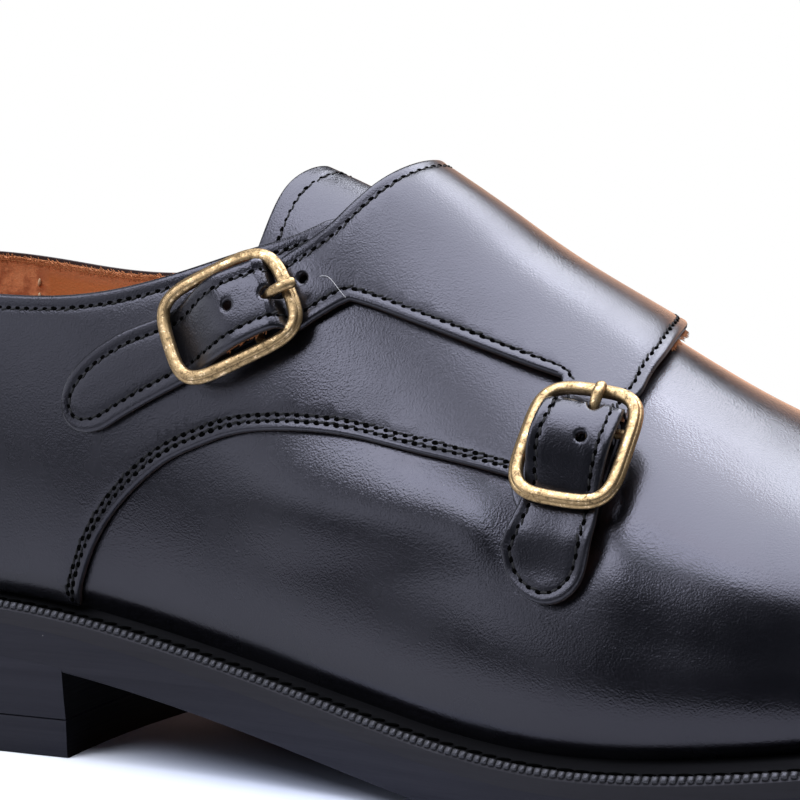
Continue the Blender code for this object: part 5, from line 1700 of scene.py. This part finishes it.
def swept(name, path, across, up, section, finish, closed, sizes=None, sharp=60.0):
    """The section carried along path; across and up are its directions at each point."""
    count, sides = len(path), len(section)
    sizes = np.ones(count) if sizes is None else np.asarray(sizes)
    out, high = section[:, 0][None, :, None], section[:, 1][None, :, None]
    ring = (out * across[:, None] + high * up[:, None]) * sizes[:, None, None]
    points = (path[:, None] + ring).reshape(-1, 3)
    faces = []
    for i in range(count if closed else count - 1):
        n = (i + 1) % count
        for j in range(sides):
            k = (j + 1) % sides
            faces.append((i * sides + j, n * sides + j, n * sides + k, i * sides + k))
    if not closed:
        faces.append(tuple(range(sides)))
        faces.append(tuple((count - 1) * sides + j for j in reversed(range(sides))))
    return add_piece(name, points, faces, finish, sharp)


def outward(piece):
    """Turns the piece's faces to point outwards."""
    mesh = piece.data
    made = bmesh.new()
    made.from_mesh(mesh)
    bmesh.ops.recalc_face_normals(made, faces=made.faces)
    made.to_mesh(mesh)
    made.free()
    return piece


def make_frame(label, place):
    turn = np.linspace(0, 2 * math.pi, 144, endpoint=False)
    cos, sin = np.cos(turn), np.sin(turn)
    long, wide = place.half_long - FRAME_BOW, FRAME_HALF_WIDE
    power = BUCKLE_POWER
    size = (np.abs(cos / long) ** power + np.abs(sin / wide) ** power) ** (-1 / power)
    t, b = size * cos, size * sin
    t = t * (1 + FRAME_BOW / long * (1 - (b / wide) ** 2))
    t = t - place.skew * b / wide * smooth(t / long)
    step = np.hypot(np.diff(t, append=t[:1]), np.diff(b, append=b[:1]))
    at = np.concatenate([[0.0], np.cumsum(step)])
    even = np.linspace(0, at[-1], 144, endpoint=False)
    t, b = np.interp(even, at, np.append(t, t[0])), np.interp(even, at, np.append(b, b[0]))
    path = place.at(t + place.frame_t, b + place.frame_b, rail_height(t))
    ahead = headings(path)
    across = unit(np.cross(ahead, place.n))
    up = np.cross(across, ahead)
    section = cut_corners(FRAME_SECTION, 2)
    frame_piece = swept("buckle_frame_" + label, path, across, up, section, BRASS, True)
    outward(frame_piece)
    ends = np.linspace(-wide, wide, 21)
    bar = place.at(BAR_AT, ends + place.frame_b, BAR_HEIGHT)
    across, up = np.tile(place.t, (21, 1)), np.tile(place.n, (21, 1))
    section = round_section(BAR_RADIUS, 20)
    bar_piece = swept("buckle_bar_" + label, bar, across, up, section, BRASS, False)
    settle(outward(bar_piece), "antique_brass")
    settle(frame_piece, "antique_brass", "buckle_" + label)


PRONG_SECTION = (
    (-0.7, -0.8), (-1.05, -0.4), (-1.08, 0.25), (-0.62, 0.72), (0.62, 0.72), (1.08, 0.25),
    (1.05, -0.4), (0.7, -0.8),
)


def make_prong(label, place):
    """The pin: it hooks round the bar, comes out through the strap and rests over the frame."""
    side, hole, tip = place.prong
    turn = np.radians(np.linspace(-60, -270, 18))
    hook = [
        (BAR_AT + PRONG_TURN * np.cos(a), BAR_HEIGHT + PRONG_TURN * np.sin(a), PRONG_RADIUS)
        for a in turn
    ]
    over = rail_height(place.half_long) + 1.95
    run = (
        (5.4, 6.28, 0.65),
        (hole - 1.2, 6.6, 0.7),
        (hole, 7.45, 0.85),
        (hole + 1.6, over + 0.5, 0.98),
        ((hole + tip) / 2 + 0.6, over + 0.55, 1.0),
        (tip - 1.2, over + 0.2, 1.0),
        (tip - 0.35, over, 0.92),
        (tip, over - 0.1, 0.62),
    )
    rows = np.array(hook + list(run))
    at = run_lengths(rows[:, :2])
    table = [(v, *row) for v, row in zip(at, rows)]
    fresh = np.linspace(0, at[-1], 60)
    t, height, radii = (spline(table, column)(fresh) for column in (1, 2, 3))
    path = place.at(t, side, height)
    ahead = unit(np.gradient(path, axis=0))
    across = np.tile(place.b, (len(path), 1))
    up = np.cross(ahead, across)
    section = cut_corners(PRONG_SECTION, 1)
    piece = swept("buckle_prong_" + label, path, across, up, section, BRASS, False, radii, 40.0)
    settle(outward(piece), "antique_brass", "prong_" + label)


# ---------------------------------------------------------------- making it
SEWING, TEETH = sewing_tree("row_of_beads"), sewing_tree("row_of_blocks", True)
make_vamp()
make_quarters()
make_tongue()
make_back_strip()
make_fibres()
make_loose_thread()
make_sole()
make_sock()
for label, place in (("rear", REAR), ("front", FRONT)):
    make_frame(label, place)
    make_prong(label, place)
    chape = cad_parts["chape_" + label]
    chape.data.materials.clear()
    chape.data.materials.append(PLAIN_CALF)


# ---------------------------------------------------------------- studio
AZIMUTH, ELEVATION, ROLL = math.radians(28.7), math.radians(5.9), math.radians(-1.08)
TARGET, DISTANCE, LENS = np.array((133.3, 0.0, 69.7)), 591.0, 135.9
LEVEL = np.array((math.sin(AZIMUTH), -math.cos(AZIMUTH), 0.0))
BACK = LEVEL * math.cos(ELEVATION) + np.array((0.0, 0.0, math.sin(ELEVATION)))


def make_camera():
    data = bpy.data.cameras.new("camera")
    data.sensor_width, data.lens = 36.0, LENS
    data.clip_start, data.clip_end = 0.05, 30.0
    camera = in_scene("camera", data)
    camera.location = in_metres(TARGET + DISTANCE * BACK)
    level = (-Vector(BACK.tolist())).to_track_quat("-Z", "Y")
    camera.rotation_mode = "QUATERNION"
    camera.rotation_quaternion = Quaternion(BACK.tolist(), ROLL) @ level
    bpy.context.scene.camera = camera


def soft_light(name, place, aim, width, height, power, colour):
    data = bpy.data.lights.new(name, "AREA")
    data.shape, data.size, data.size_y = "RECTANGLE", width, height
    data.energy, data.color = power, colour
    light = in_scene(name, data)
    light.location = place
    light.rotation_mode = "QUATERNION"
    light.rotation_quaternion = (Vector(aim) - Vector(place)).to_track_quat("-Z", "Y")
    light.visible_camera = False


# the middle of the shadow painted into the floor's colour under the arch, and one over its reach along X
# and Y
PAINTED_SHADOW_AT, PAINTED_SHADOW_SHAPE = (-0.005, 0.022, 0.0), (1 / 0.085, 1 / 0.06, 0.0)


def make_floor():
    """A small pale floor, so that all above it is the white of the world, with a shadow painted into its
    colour under the arch.
    """
    count = 9
    sides, depths = np.linspace(-1.2, 1.2, count), np.linspace(-0.38, 0.42, count)
    along, across = math.cos(AZIMUTH), math.sin(AZIMUTH)
    points = [(x * along - y * across, x * across + y * along, 0.0) for y in depths for x in sides]
    faces = [
        (i * count + j, i * count + j + 1, (i + 1) * count + j + 1, (i + 1) * count + j)
        for i in range(count - 1)
        for j in range(count - 1)
    ]
    mesh = bpy.data.meshes.new("floor")
    mesh.from_pydata(points, [], faces)
    paper, tree, shader, where = blank("paper", Roughness=0.7, Specular_IOR_Level=0.0)
    tone = noise(tree, where, 3.0)
    tone = blended(tree, tone, (0.5, 0.503, 0.51), (0.52, 0.523, 0.53))
    seen = node(tree, "ShaderNodeLightPath").outputs["Is Camera Ray"]
    tone = blended(tree, seen, tone, (0.95, 0.95, 0.96))
    away = vector_maths(tree, "SUBTRACT", {0: where, 1: PAINTED_SHADOW_AT})
    away = vector_maths(tree, "MULTIPLY", {0: away, 1: PAINTED_SHADOW_SHAPE})
    away = vector_maths(tree, "LENGTH", {0: away}, "Value")
    # painted shadow under the arch: near black in the middle, with a pale bluish painted fringe round it
    tone = blended(tree, ramp(tree, away, 0.8, 1.6), (0.55, 0.6, 0.78), tone)
    tone = blended(tree, ramp(tree, away, 0.5, 1.15), (0.004, 0.005, 0.012), tone)
    tree.links.new(tone, shader.inputs["Base Color"])
    mesh.materials.append(paper)
    floor = in_scene("floor", mesh)


def make_world():
    """White behind the shoe, and dim light from all round it."""
    world = bpy.data.worlds.new("studio")
    bpy.context.scene.world = world
    world.use_nodes = True
    tree = world.node_tree
    tree.nodes.clear()
    path = node(tree, "ShaderNodeLightPath")
    seen = node(tree, "ShaderNodeBackground", {"Color": (1, 1, 1, 1), "Strength": 1.0})
    dim = node(tree, "ShaderNodeBackground", {"Color": (0.75, 0.85, 1, 1), "Strength": 0.07})
    mix = node(
        tree,
        "ShaderNodeMixShader",
        {0: path.outputs["Is Camera Ray"], 1: dim.outputs[0], 2: seen.outputs[0]},
    )
    out = node(tree, "ShaderNodeOutputWorld")
    tree.links.new(mix.outputs[0], out.inputs["Surface"])


# lights: turn from the camera's side to the right, height in degrees, distance, width, height, the
# light's radiance, colour
COOL, TAN, WARM = (0.93, 0.96, 1.0), (1.0, 0.6, 0.42), (1.0, 0.52, 0.28)
LIGHTS = {
    "overhead": (0, 89, 1.0, 0.95, 0.85, 7.8, COOL),
    "back_right": (128, 57, 1.1, 0.85, 0.4, 9.3, COOL),
    "front_left": (-26, 59, 1.1, 0.65, 0.26, 4.2, COOL),
    "window": (-64, 38, 0.5, 0.27, 0.17, 7.6, COOL),
    "left_wall": (-86, 13, 0.45, 0.5, 0.12, 1.8, COOL),
    "right_wall": (138, 19, 1.1, 1.3, 0.5, 1.75, TAN),
    "warm_card": (182, 8, 0.8, 0.7, 0.26, 1.0, WARM),
}


def make_lights():
    middle = Vector((0, 0, 0.05))
    for name, (turn, height, distance, width, tall, radiance, colour) in LIGHTS.items():
        a, h = AZIMUTH + math.radians(turn), math.radians(height)
        way = Vector((math.sin(a) * math.cos(h), -math.cos(a) * math.cos(h), math.sin(h)))
        power = radiance * math.pi * width * tall
        soft_light(name, middle + way * distance, middle, width, tall, power, colour)


make_camera()
make_floor()
make_world()
make_lights()
bpy.context.scene.view_settings.view_transform = "Standard"
